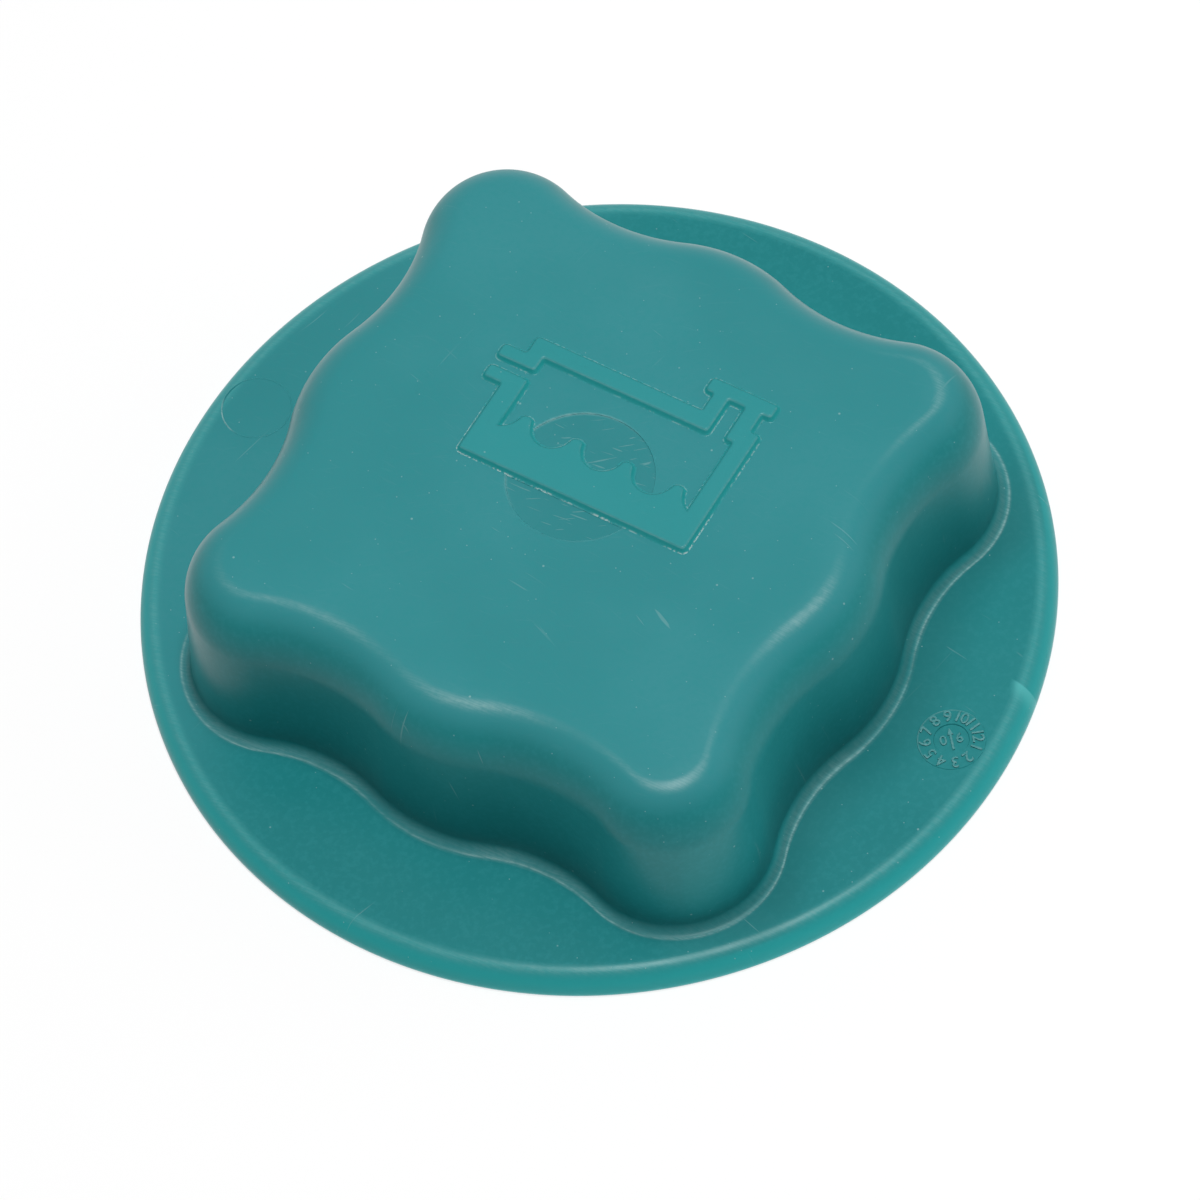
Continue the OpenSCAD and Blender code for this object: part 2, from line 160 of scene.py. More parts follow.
class CapSocketSizes(bpy.types.PropertyGroup):
    """Threaded socket, lobe pockets and the cartridge's seat inside the shell"""

    thread_r: length("Thread root radius", "Radius of the socket at the thread's root", 24.5 * MM)
    thread_depth: length("Thread depth", "How far the thread's ridge stands in", 1.5 * MM)
    thread_pitch: length("Thread pitch", "Rise of the thread in one turn", 5.0 * MM)
    thread_low_z: length("Thread start", "Middle of the ridge at its lower end", 2.0 * MM)
    thread_high_z: length("Thread end", "Middle of the ridge at its upper end", 8.2 * MM)
    thread_base_w: length("Ridge base", "Width of the ridge at its root", 2.6 * MM)
    thread_crest_w: length("Ridge crest", "Width of the ridge at its crest", 1.0 * MM)
    thread_run_out: angle("Run-out", "Turn over which each end of the ridge fades", 30)
    mouth_chamfer: length("Mouth chamfer", "Lead-in chamfer at the socket's mouth", 0.8 * MM)
    socket_r: length("Socket radius", "Outside of the threaded socket", 26.8 * MM)
    lobe_wall: length("Lobe wall", "Wall of the lobes", 2.6 * MM)
    pocket_top_z: length("Pocket height", "Top of the lobe pockets", 14.8 * MM)
    pocket_round: length("Pocket rounding", "Rounding of the pockets' top edge", 1.0 * MM)
    seat_z: length("Seat height", "Level that the cartridge's flange seats on", 13.2 * MM)
    ceiling_z: length("Ceiling height", "Underside of the roof", 16.0 * MM)
    room_r: length("Room radius", "Radius of the room above the cartridge", 22.5 * MM)
    collar_r: length("Collar bore", "Radius of the collar's bore", 16.1 * MM)
    collar_wall: length("Collar wall", "Wall of the collar", 2.2 * MM)
    groove_r: length("Groove radius", "Radius of the groove for the snap bead", 16.5 * MM)
    groove_h: length("Groove height", "Height of the groove for the snap bead", 1.0 * MM)
    rib_t: length("Rib thickness", "Thickness of the ribs round the collar", 1.5 * MM)
    rib_count: count("Ribs", "Number of ribs round the collar", 8)
    vent_slot_w: length("Vent slot", "Width of the vent slots through the collar", 3.0 * MM)


class CapValveSizes(bpy.types.PropertyGroup):
    """Cartridge with its pressure valve and vacuum valve"""

    tube_r: length("Tube radius", "Outside of the housing's tube", 16.0 * MM)
    chamber_r: length("Chamber radius", "Inside of the housing's tube", 14.0 * MM)
    tube_chamfer: length("Tube chamfer", "Chamfer of the tube's lower end", 1.0 * MM)
    floor_t: length("Floor thickness", "Thickness of the housing's floor", 1.6 * MM)
    hub_r: length("Hub radius", "Hub on the housing that the gasket sits on", 17.2 * MM)
    hub_short: length("Hub shortfall", "Gasket left free below the hub", 0.4 * MM)
    port_r: length("Port radius", "Inlet port in the housing's floor", 8.0 * MM)
    bead_w: length("Sealing bead", "Width of the sealing bead round the port", 1.2 * MM)
    snap_out: length("Snap bead", "How far the snap bead stands out", 0.4 * MM)
    snap_h: length("Snap bead height", "Height of the snap bead", 0.8 * MM)
    lip_t: length("Lip thickness", "Lip that holds the spring cover", 0.5 * MM)
    lip_in: length("Lip reach", "How far that lip reaches inwards", 0.7 * MM)
    guide_r: length("Guide radius", "Inner edge of the plate's guide ribs", 12.85 * MM)
    guide_t: length("Guide thickness", "Thickness of the guide ribs", 1.6 * MM)
    guide_top_z: length("Guide top", "Upper end of the guide ribs", 7.8 * MM)
    guide_count: count("Guides", "Number of guide ribs", 6)
    gasket_in_r: length("Gasket bore", "Radius of the gasket's bore", 17.3 * MM)
    seal_hole_r: length("Seal hole", "Radius of the hole in the pressure seal", 4.5 * MM)
    ring_out_r: length("Centring ring", "Outer radius of the rings that centre the spring", 8.05 * MM)
    ring_w: length("Ring wall", "Wall of those rings", 1.0 * MM)
    ring_h: length("Ring height", "Height of those rings", 1.2 * MM)
    cover_vent_r: length("Cover vent", "Radius of the vents in the cover", 1.5 * MM)
    cover_vent_at: length("Cover vent circle", "Radius of the circle of vents", 4.3 * MM)
    plate_rim_w: length("Plate rim", "Wall of the rim that holds the seal", 1.0 * MM)
    stem_r: length("Stem radius", "Radius of the poppet's stem", 1.5 * MM)
    stem_bore_r: length("Stem bore", "Hole in the plate that guides the stem", 1.58 * MM)
    air_hole_r: length("Air hole", "Radius of the air holes in the plate", 0.75 * MM)
    air_hole_at: length("Air hole circle", "Radius of the circle of air holes", 3.04 * MM)
    hole_count: count("Holes", "Number of holes in each circle", 6)
    poppet_chamfer: length("Poppet chamfer", "Edge chamfer of the poppet's head", 0.4 * MM)
    stem_tip: length("Stem tip", "Stem above the clip", 0.6 * MM)
    clip_relief_r: length("Clip relief", "Radius of the reliefs between the clip's tongues", 0.35 * MM)
    clip_tongues: count("Tongues", "Number of tongues that grip the stem", 3)
    pressure_wire: length("Pressure wire", "Wire of the pressure spring", 1.4 * MM)
    pressure_coil_r: length("Pressure coil", "Mean radius of the pressure spring", 9.0 * MM)
    pressure_turns: plain_number("Pressure turns", "Turns of the pressure spring", 3.75)
    vacuum_wire: length("Vacuum wire", "Wire of the vacuum spring", 0.5 * MM)
    vacuum_coil_r: length("Vacuum coil", "Mean radius of the vacuum spring", 2.0 * MM)
    vacuum_turns: plain_number("Vacuum turns", "Turns of the vacuum spring", 4.0)


class CapMarkSizes(bpy.types.PropertyGroup):
    """Raised tank symbol on the roof and moulded marks on the flange"""

    symbol_turn: angle("Symbol turn", "Turn of the symbol's baseline about the axis", -45)
    symbol_h: length("Symbol height", "How far the symbol stands up from the roof", 0.52 * MM)
    bar_w: length("Bar width", "Width of the symbol's lines", 1.6 * MM)
    tank_left: length("Tank left", "Left side of the tank from the axis", -10.65 * MM)
    tank_right: length("Tank right", "Right side of the tank from the axis", 11.55 * MM)
    tank_low: length("Tank bottom", "Bottom of the tank from the axis", -2.4 * MM)
    tank_high: length("Tank top", "Top of the tank from the axis", 10.35 * MM)
    wave_low: length("Wave trough", "Level of the waves' troughs", 0.9 * MM)
    wave_high: length("Wave crest", "Level of the waves' crests", 2.7 * MM)
    wave_pitch: length("Wave pitch", "Crest to crest", 5.0 * MM)
    crest_w: length("Crest width", "Blunt width of the waves' crests", 0.95 * MM)
    wave_first: length("First trough", "Middle of the first trough from the axis", -9.4 * MM)
    dial_r: length("Dial radius", "Outer radius of the date dial", 2.93 * MM)
    dial_lift: length("Dial lift", "How far the dial stands up from the flange", 0.05 * MM)
    dial_depth: length("Dial depth", "How far the dial's arrow disc is sunk", 0.1 * MM)
    dial_hub_r: length("Dial hub", "Radius of the dial's arrow disc", 1.5 * MM)
    dial_at_r: length("Dial place", "Axis to the middle of the dial", 35.15 * MM)
    dial_at: angle("Dial bearing", "Direction of the dial from the axis", -44.7)
    dial_zero: angle("Dial turn", "Where the dial's count starts", -8)
    dial_aim: angle("Arrow turn", "Turn of the dial's arrow", -5)
    figure_h: length("Figure height", "Height of the dial's figures", 1.48 * MM)
    figure_at_r: length("Figure circle", "Radius of the circle of figures", 2.24 * MM)
    eject_r: length("Ejector radius", "Radius of the ejector marks under the flange", 2.2 * MM)
    eject_at_r: length("Ejector circle", "Axis to the middle of those marks", 33.0 * MM)
    eject_depth: length("Ejector depth", "Depth of those marks", 0.09 * MM)
    insert_r: length("Insert radius", "Radius of the plain mould insert", 3.1 * MM)
    insert_at_r: length("Insert place", "Axis to the middle of the plain insert", 35.6 * MM)
    insert_at: angle("Insert bearing", "Direction of the plain insert from the axis", 133)
    nick_at_r: length("Nick place", "Axis to the middle of the rim's nick", 39.3 * MM)
    nick_at: angle("Nick bearing", "Direction of the rim's nick from the axis", -33.7)
    nick_turn: angle("Nick turn", "Direction in which the nick's sharp side runs", -51.7)
    nick_l: length("Nick length", "How far the nick fades out from its sharp side", 2.8 * MM)


class CapFinishes(bpy.types.PropertyGroup):
    """Colours and gloss of the cap's materials"""

    teal: colour("Teal", "Main colour of the shell", (0.01, 0.196, 0.205))
    teal_deep: colour("Deep teal", "Darker clouds in the shell", (0.009, 0.182, 0.191))
    teal_pale: colour("Pale teal", "Paler grain in the shell", (0.02, 0.226, 0.24))
    # Partly painted light: besides handling wear, this paler teal makes the roof lighter than the walls and
    # flange, which keep the darker main teal as painted shade, and lays a painted sheen on the flange's
    # back-left side and the fillet.
    teal_worn: colour("Worn teal", "Roof and other places dulled by handling", (0.031, 0.23, 0.25))
    # Painted light: the rim, a band at its crease and the symbol's sides are painted in this lighter teal in
    # place of light coming through the plastic and falling on them.
    teal_thin: colour("Thin teal", "Rim and raised symbol, where light comes through", (0.02, 0.318, 0.322))
    teal_cut: colour("Cut teal", "Fresh plastic in the rim's nick", (0.08, 0.42, 0.42))
    # Painted shade: this dark teal is painted on the symbol's edges that face away from the front, along the
    # right-hand fillet and on the flange next to it; it also gives the roof's round mark its own darker tone.
    teal_shade: colour("Shaded teal", "Dirt at the symbol, round mark and fillet", (0.006, 0.1, 0.105))
    # Scratches, specks and edge wear, and painted highlights: on edges this pale colour also stands in for
    # light.
    scuff: colour("Scuff", "Rubbed edges, scratches and specks", (0.24, 0.42, 0.42))
    chalk: colour("Residue", "Dry residue along the foot of the symbol", (0.42, 0.55, 0.54))
    black: colour("Black", "Valve housing", (0.018, 0.018, 0.02))
    natural: colour("Natural", "Uncoloured valve mouldings", (0.7, 0.67, 0.57))
    rubber: colour("Rubber", "Gasket and seal", (0.016, 0.016, 0.017))
    steel: colour("Steel", "Spring wire and clip", (0.56, 0.57, 0.58))
    brass: colour("Brass", "Vacuum poppet", (0.72, 0.5, 0.2))
    shell_gloss: share("Shell roughness", "Roughness of the clean shell", 0.28)


class CapSettings(bpy.types.PropertyGroup):
    """All sizes and finishes of the pressure cap"""

    grip: bpy.props.PointerProperty(type=CapGripSizes, name="Grip", description="Grip and flange")
    socket: bpy.props.PointerProperty(type=CapSocketSizes, name="Socket", description="Inside of the shell")
    valve: bpy.props.PointerProperty(type=CapValveSizes, name="Valve", description="Valve cartridge")
    marks: bpy.props.PointerProperty(type=CapMarkSizes, name="Marks", description="Symbol and mould marks")
    finish: bpy.props.PointerProperty(type=CapFinishes, name="Finishes", description="Colours and gloss")


class Flow:
    """One output of a shader node: arithmetic on it adds Math nodes, and node() adds any other."""

    def __init__(self, tree, socket=None):
        self.tree = tree
        self.socket = socket

    def node(self, kind, settings=None, sockets=None, out=0):
        """Adds a node: settings first, then its sockets' values or links. Gives one of its outputs."""
        made = self.tree.nodes.new(kind)
        for name, value in (settings or {}).items():
            setattr(made, name, value)
        for name, value in (sockets or {}).items():
            if isinstance(value, Flow):
                self.tree.links.new(value.socket, made.inputs[name])
            else:
                made.inputs[name].default_value = value
        return Flow(self.tree, made.outputs[out]) if made.outputs else None

    def also(self, out):
        """Another output of the same node."""
        return Flow(self.tree, self.socket.node.outputs[out])

    def math(self, operation, first, second):
        return self.node("ShaderNodeMath", {"operation": operation}, {0: first, 1: second})

    def __add__(self, other):
        return self.math("ADD", self, other)

    __radd__ = __add__

    def __sub__(self, other):
        return self.math("SUBTRACT", self, other)

    def __rsub__(self, other):
        return self.math("SUBTRACT", other, self)

    def __mul__(self, other):
        return self.math("MULTIPLY", self, other)

    __rmul__ = __mul__

    def __or__(self, other):
        return self.math("MAXIMUM", self, other)

    __ror__ = __or__


def rise(flow, low, high):
    """0 below low, 1 above high and a smooth rise between."""
    return flow.node(
        "ShaderNodeMapRange",
        {"interpolation_type": "SMOOTHSTEP"},
        {"Value": flow, "From Min": low, "From Max": high},
    )


def opaque(value):
    """A colour with its alpha, unless it comes from a node."""
    return value if isinstance(value, Flow) else (*value, 1)


def mixed(factor, first, second):
    """Colour between two colours."""
    sockets = {0: factor, 6: opaque(first), 7: opaque(second)}
    return factor.node("ShaderNodeMix", {"data_type": "RGBA"}, sockets, 2)


def blended(factor, first, second):
    """Shader between two shaders."""
    return factor.node("ShaderNodeMixShader", None, {0: factor, 1: first, 2: second})


def vector_math(operation, *values, out="Vector"):
    """Vector Math node on these values."""
    return values[0].node("ShaderNodeVectorMath", {"operation": operation}, dict(enumerate(values)), out)


def attribute(space, name):
    """A value that a piece stores on its points, or 0 where it stores none."""
    return space.node("ShaderNodeAttribute", {"attribute_name": name}, out="Fac")


def noise(space, size, detail=2.0, out=0):
    """Cloudy noise with features of about this size."""
    return space.node("ShaderNodeTexNoise", None, {"Vector": space, "Scale": 1 / size, "Detail": detail}, out)


def stretched(space, turn, size, place=(0, 0, 0)):
    """Space seen from a place, turned by degrees and measured in the given size along each direction."""
    return space.node(
        "ShaderNodeMapping",
        {"vector_type": "TEXTURE"},
        {"Vector": space, "Location": place, "Rotation": (0, 0, math.radians(turn)), "Scale": size},
    )


def wavering(space, size, reach):
    """Space that drifts to and fro by the reach over this size, which bends straight lines."""
    drift = noise(space, size, 0.0, "Color")
    return vector_math("MULTIPLY_ADD", drift, (reach,) * 3, space)


def scratches(space, turn, run, width, level):
    """Thin scratches in one direction; a higher level leaves fewer."""
    field = noise(stretched(space, turn, (run, width, run)), 1.0, 0.0)
    return rise(field, level, level + 0.04)


def specks(space, spacing, radius, chosen):
    """Small round dots in a share of the cells of a random lattice."""
    cells = space.node("ShaderNodeTexVoronoi", None, {"Vector": space, "Scale": 1 / spacing}, "Distance")
    lot = cells.node("ShaderNodeSeparateColor", None, {"Color": cells.also("Color")}, "Red")
    dots = 1 - rise(cells, 0.5 * radius / spacing, radius / spacing)
    return dots * rise(lot, 1 - chosen, 1.01 - chosen)


def axis_radius(space):
    """Distance from the cap's axis."""
    flat = vector_math("MULTIPLY", space, (1, 1, 0))
    return vector_math("LENGTH", flat, out="Value")


def bump(height, depth):
    """Normal of a surface whose fine heights are scaled by this depth."""
    return height.node("ShaderNodeBump", None, {"Height": height, "Distance": depth}, "Normal")


def cleared(owner):
    """Start of the emptied node tree of a material or world."""
    owner.use_nodes = True
    owner.node_tree.nodes.clear()
    return Flow(owner.node_tree)


def finish_of(recipe):
    """The material of a recipe, made when the first piece asks for it."""
    found = bpy.data.materials.get(recipe.__name__)
    if found:
        return found
    material = bpy.data.materials.new(recipe.__name__)
    root = cleared(material)
    space = root.node("ShaderNodeTexCoord", out="Object")
    surface = root.node("ShaderNodeBsdfPrincipled", None, recipe(space, bpy.context.scene.pressure_cap))
    root.node("ShaderNodeOutputMaterial", None, {"Surface": surface})
    return material


def wedge_nick(space, marks):
    """Pale wedge on the rim: one side is sharp, and it fades out along the rim."""
    place = (*(marks.nick_at_r * heading(marks.nick_at)), 0)
    local = stretched(space, math.degrees(marks.nick_turn), (marks.nick_l,) * 3, place)
    outward = local.node("ShaderNodeSeparateXYZ", None, {"Vector": local}, "X")
    past = 0 - outward.also("Y")
    faded = 1 - rise(past, 0.02, 0.9)
    return rise(past, -0.02, 0.04) * faded * faded * rise(outward - 0.4 * past, -0.7, -0.3)


def teal_moulding(space, settings):
    """Satin teal plastic with faint clouds, handling scratches, specks and edge wear, and painted highlights,
    sheen, light and shade.
    """
    finish, mark_r = settings.finish, settings.grip.witness_r
    clouds = rise(noise(space, 22 * MM, 3.0), 0.36, 0.64)
    grain = noise(space, 0.5 * MM)
    patches = rise(noise(space, 11 * MM), 0.5, 0.68)
    wear_and_sheen_mask = attribute(space, "wear_and_sheen")
    outside = rise(axis_radius(space), mark_r - 0.05 * MM, mark_r)
    inside = 1 - (outside | attribute(space, "raised"))
    bent = wavering(space, 19 * MM, 5 * MM)
    hairs = scratches(bent, 32, 12 * MM, 0.3 * MM, 0.81) | scratches(bent, 121, 5 * MM, 0.24 * MM, 0.81)
    nicks = scratches(bent, -45, 2.4 * MM, 0.2 * MM, 0.75) | scratches(bent, -12, 2.4 * MM, 0.2 * MM, 0.77)
    nicks = nicks * (0.08 + inside * 0.92) * wear_and_sheen_mask
    lines = hairs * patches | nicks
    dust = specks(space, 0.9 * MM, 0.07 * MM, 0.4) | specks(space, 2.3 * MM, 0.13 * MM, 0.45)
    scrapes = rise(noise(stretched(space, -40, (1.5 * MM, 0.11 * MM, 1.5 * MM)), 1.0, 1.0), 0.44, 0.6)
    broken = 0.4 + 0.25 * rise(noise(space, 0.4 * MM, 3.0), 0.3, 0.66) + 0.35 * scrapes
    rub_and_highlight = attribute(space, "rub_and_highlight") * broken
    crumbs = rise(noise(space, 2.6 * MM, 1.0), 0.4, 0.58) * rise(noise(space, 0.28 * MM), 0.4, 0.56)
    residue = attribute(space, "residue") * crumbs
    nick = wedge_nick(space, settings.marks)

    base = mixed(clouds, finish.teal_deep, finish.teal)
    # Handling wear, and painted light: a lighter roof and a painted sheen on parts of the flange and the
    # fillet.
    base = mixed(wear_and_sheen_mask * (0.74 + clouds * 0.26), base, finish.teal_worn)
    base = mixed(rise(grain, 0.4, 0.75) * 0.4, base, finish.teal_pale)
    # Painted light: lighter teal on the rim, its crease and the symbol's sides.
    base = mixed(attribute(space, "painted_light"), base, finish.teal_thin)
    # Painted shade from the stored share, and the round mark's own darker tone on the roof.
    base = mixed(attribute(space, "painted_shade") | inside * wear_and_sheen_mask * 0.13, base, finish.teal_shade)
    # Scratches, specks and edge wear, with painted highlights carried by the same share.
    base = mixed(lines * 0.28 | dust * 0.6 | rub_and_highlight * 0.75, base, finish.scuff)
    base = mixed(nick * 0.8, base, finish.teal_cut)
    base = mixed(residue * 0.75, base, finish.chalk)
    rough = finish.shell_gloss + clouds * 0.05 + patches * 0.04 + lines * 0.12 + rub_and_highlight * 0.16
    height = grain * 0.5 + noise(space, 2.2 * MM, 1.0) * 0.8 - lines * 0.8 - rub_and_highlight * 0.9
    return {
        "Base Color": base,
        "Roughness": rough + residue * 0.3 - inside * 0.04,
        "Normal": bump(height, 0.012 * MM),
        "Specular IOR Level": 0.15,
    }


def black_moulding(space, settings):
    """Black plastic with soft flow marks and a little dust."""
    black, dust_grey = settings.finish.black, (0.3, 0.3, 0.3)
    flow_marks = rise(noise(stretched(space, 0, (6 * MM, 6 * MM, 1.2 * MM)), 1.0, 3.0), 0.35, 0.7)
    grain = noise(space, 0.4 * MM)
    dust = specks(space, 2.2 * MM, 0.06 * MM, 0.25)
    base = mixed(flow_marks * 0.6, black, [1.9 * c for c in black])
    return {
        "Base Color": mixed(dust * 0.3, base, dust_grey),
        "Roughness": 0.4 + flow_marks * 0.08 + grain * 0.08,
        "Normal": bump(grain + flow_marks, 0.014 * MM),
    }


def natural_moulding(space, settings):
    """Uncoloured engineering plastic, slightly yellowed in patches."""
    natural, speck_brown = settings.finish.natural, (0.2, 0.17, 0.12)
    patches = rise(noise(space, 5 * MM, 3.0), 0.35, 0.7)
    grain = noise(space, 0.3 * MM)
    warm = (natural[0] * 0.94, natural[1] * 0.9, natural[2] * 0.78)
    base = mixed(patches, natural, warm)
    return {
        "Base Color": mixed(specks(space, 2 * MM, 0.07 * MM, 0.2) * 0.4, base, speck_brown),
        "Roughness": 0.42 + grain * 0.1,
        "Normal": bump(grain, 0.01 * MM),
    }


def moulded_rubber(space, settings):
    """Matt black rubber with a bloom and fine moulding grain."""
    rubber = settings.finish.rubber
    bloom = rise(noise(space, 3 * MM, 4.0), 0.42, 0.7)
    grain = noise(space, 0.22 * MM)
    return {
        "Base Color": mixed(bloom * 0.5, rubber, [3.2 * c for c in rubber]),
        "Roughness": 0.7 + bloom * 0.12 + grain * 0.08,
        "Normal": bump(grain, 0.02 * MM),
    }


def drawn_steel(space, settings):
    """Bright spring wire with drawing lines and faint oil staining."""
    oil_grey = (0.34, 0.33, 0.31)
    stain = rise(noise(space, 2.5 * MM, 3.0), 0.4, 0.7)
    lines = noise(stretched(space, 0, (1.5 * MM, 1.5 * MM, 0.06 * MM)), 1.0)
    return {
        "Base Color": mixed(stain * 0.6, settings.finish.steel, oil_grey),
        "Metallic": 1.0,
        "Roughness": 0.2 + lines * 0.14 + stain * 0.1,
        "Normal": bump(lines, 0.006 * MM),
    }


def turned_brass(space, settings):
    """Turned brass with fine tool rings round the axis and a dull tarnish."""
    ring_pitch, tarnish_brown = 0.16 * MM, (0.42, 0.27, 0.1)
    phase = axis_radius(space) * (math.tau / ring_pitch)
    rings = phase.node("ShaderNodeMath", {"operation": "SINE"}, {0: phase})
    tarnish = rise(noise(space, 0.9 * MM, 4.0), 0.3, 0.75)
    return {
        "Base Color": mixed(tarnish * 0.55, settings.finish.brass, tarnish_brown),
        "Metallic": 1.0,
        "Roughness": 0.24 + tarnish * 0.16 + rings * 0.04,
        "Normal": bump(rings, 0.004 * MM),
    }


def heading(turn):
    """Plan vector of length 1 at a bearing."""
    return np.array((math.cos(turn), math.sin(turn)))


def arc(centre, radius, start, end, steps):
    """Points of an arc from one bearing towards another, without the last."""
    turns = start + (end - start) * np.arange(steps) / steps
    return centre + circle(turns, radius)


def circle(bearings, radius):
    """Plan points at these bearings on a circle round the origin."""
    return radius * np.column_stack((np.cos(bearings), np.sin(bearings)))


def ring(points, z):
    """Plan points at one height, or at a height each."""
    return np.column_stack((points, np.broadcast_to(z, len(points))))


def upright(radii, heights, turn):
    """Points of a section that stands at one bearing from the axis."""
    return np.column_stack((np.outer(radii, heading(turn)), heights))


def polar(points):
    """Distance from the axis and bearing of each point."""
    return np.hypot(points[:, 0], points[:, 1]), np.arctan2(points[:, 1], points[:, 0])


def smooth_share(values):
    """Smooth rise from 0 to 1."""
    values = np.clip(values, 0, 1)
    return values * values * (3 - 2 * values)


def band(distance, width):
    """1 where the distance is 0, fading to nothing within about twice the width."""
    return np.exp(-((distance / width) ** 2))


def grip_outline(grip, inset):
    """The grip in plan, drawn in by the inset: lobes on X and Y, swells at 45 degrees, hollows between."""
    eighth_turn = math.pi / 4
    lobe_c = np.array((grip.lobe_r - grip.lobe_tip_r, 0))
    swell_c = (grip.side_r - grip.swell_r) * heading(eighth_turn)
    between = swell_c - lobe_c
    span = np.hypot(*between)
    to_lobe = grip.lobe_tip_r + grip.hollow_r
    to_swell = grip.swell_r + grip.hollow_r
    along = (to_lobe ** 2 - to_swell ** 2 + span ** 2) / (2 * span)
    aside = math.sqrt(to_lobe ** 2 - along ** 2)
    hollow_c = lobe_c + (along * between + aside * np.array((between[1], -between[0]))) / span
    lobe_end = math.atan2(*(hollow_c - lobe_c)[::-1])
    swell_start = math.atan2(*(hollow_c - swell_c)[::-1])
    eighth = np.vstack((
        arc(lobe_c, grip.lobe_tip_r - inset, 0, lobe_end, LOBE_STEPS),
        arc(hollow_c, -grip.hollow_r - inset, lobe_end, swell_start, HOLLOW_STEPS),
        arc(swell_c, grip.swell_r - inset, swell_start, eighth_turn, SWELL_STEPS),
    ))
    middle = swell_c + (grip.swell_r - inset) * heading(eighth_turn)
    quarter = np.vstack((eighth, middle, eighth[:0:-1, ::-1]))
    turned = [quarter]
    for _ in range(3):
        last = turned[-1]
        turned.append(np.column_stack((-last[:, 1], last[:, 0])))
    return np.vstack(turned)


def wall_foot(grip):
    """Inset and height above the flange where the base fillet meets the drafted wall."""
    return grip.base_fillet * math.cos(grip.draft), grip.base_fillet * (1 - math.sin(grip.draft))


def edge_curve(grip):
    """The top edge's rounding as insets and heights above the flange, from the roof to the wall."""
    power = 2 / grip.edge_flat
    foot_x, foot_z = wall_foot(grip)
    centre_z = grip.roof_z - grip.flange_t - grip.edge_drop
    head_z = centre_z + grip.edge_drop * math.sin(grip.draft) ** power
    head_x = foot_x + (head_z - foot_z) * math.tan(grip.draft)
    centre_x = head_x + grip.edge_in * math.cos(grip.draft) ** power
    return [
        (
            centre_x - grip.edge_in * max(0, math.cos(turn)) ** power,
            centre_z + grip.edge_drop * math.sin(turn) ** power,
        )
        for turn in np.linspace(math.pi / 2, grip.draft, ROUND_STEPS)
    ]


def grip_section(grip):
    """The grip's wall as insets and heights, from the roof's edge down to the flange."""
    section = edge_curve(grip)
    head, foot = section[-1], wall_foot(grip)
    section += [
        (head[0] + (foot[0] - head[0]) * k / WALL_STEPS, head[1] + (foot[1] - head[1]) * k / WALL_STEPS)
        for k in range(1, WALL_STEPS)
    ]
    section += [
        (grip.base_fillet * math.sin(turn), grip.base_fillet * (1 - math.cos(turn)))
        for turn in np.linspace(math.pi / 2 - grip.draft, 0, FILLET_STEPS)
    ]
    return section


def rim_section(grip):
    """Radii and heights of the rim from its crease down to the flange's underside."""
    start = math.pi / 2 - grip.rim_break
    bend_r = grip.rim_width / (1 - math.cos(start))
    centre_r, centre_z = grip.flange_r - bend_r, grip.flange_t - bend_r * math.sin(start)
    low = math.asin(max(-1.0, (grip.rim_foot - centre_z) / bend_r))
    section = [
        (centre_r + bend_r * math.cos(turn), centre_z + bend_r * math.sin(turn))
        for turn in np.linspace(start, max(0.0, low), RIM_STEPS)
    ]
    edge_r = section[-1][0]
    section += [
        (edge_r - grip.rim_foot * (1 - math.cos(turn)), grip.rim_foot * (1 - math.sin(turn)))
        for turn in np.linspace(0, math.pi / 2, CORNER_STEPS + 1)[1:]
    ]
    return section


def witness_section(grip):
    """Radii and steps of the roof across the edge of the ejector's round mark."""
    mark, step, edge = grip.witness_r, grip.witness_step, 0.04 * MM
    return [
        *((mark * k / 4, -step) for k in (1, 2, 3)),
        *((mark - k * edge, -step) for k in (6, 3, 1)),
        (mark, 0.25 * step),
        *((mark + k * edge, 0) for k in (2, 5, 15)),
    ]


def shell_rings(grip):
    """Rings of the shell's outside, from the middle of the roof to the middle of the underside."""
    section = grip_section(grip)
    top = grip_outline(grip, section[0][0])
    base = grip_outline(grip, 0)
    full, roof_turns = polar(top)
    _, flange_turns = polar(base)
    sunk = grip.roof_z - grip.dish
    rings = [ring(circle(roof_turns, r), sunk + z) for r, z in witness_section(grip)]
    near = circle(roof_turns, grip.witness_r + 2 * MM)
    for part in np.arange(ROOF_STEPS) / ROOF_STEPS:
        points = near + (top - near) * part
        reach, _ = polar(points)
        lift = smooth_share((reach - grip.dish_start_r) / (full - grip.dish_start_r))
        rings.append(ring(points, sunk + grip.dish * lift))
    rings += [ring(grip_outline(grip, inset), grip.flange_t + z) for inset, z in section]
    rim = rim_section(grip)
    crease = circle(flange_turns, rim[0][0])
    rings += [ring(base + (crease - base) * part, grip.flange_t) for part in FLANGE_PARTS]
    rings += [ring(circle(flange_turns, r), z) for r, z in rim]
    rings.append(ring(circle(flange_turns, grip.lobe_r), 0))
    return rings


def pocket_rings(grip, socket):
    """Rings of the solid that cores out the lobes, before the socket is left standing in it."""
    foot_x, _ = wall_foot(grip)
    height = socket.pocket_top_z - grip.flange_t
    bend = socket.pocket_round

    def inset(z):
        return foot_x + socket.lobe_wall + max(0.0, z) * math.tan(grip.draft)

    section = [(inset(0), -grip.flange_t - MM), (inset(0), 0)]
    section += [(inset(height * k / 4), height * k / 4) for k in (1, 2, 3)]
    section += [
        (inset(height - bend) + bend * (1 - math.cos(turn)), height - bend * (1 - math.sin(turn)))
        for turn in np.linspace(0, math.pi / 2, CORNER_STEPS + 2)
    ]
    return [ring(grip_outline(grip, x), grip.flange_t + z) for x, z in section]


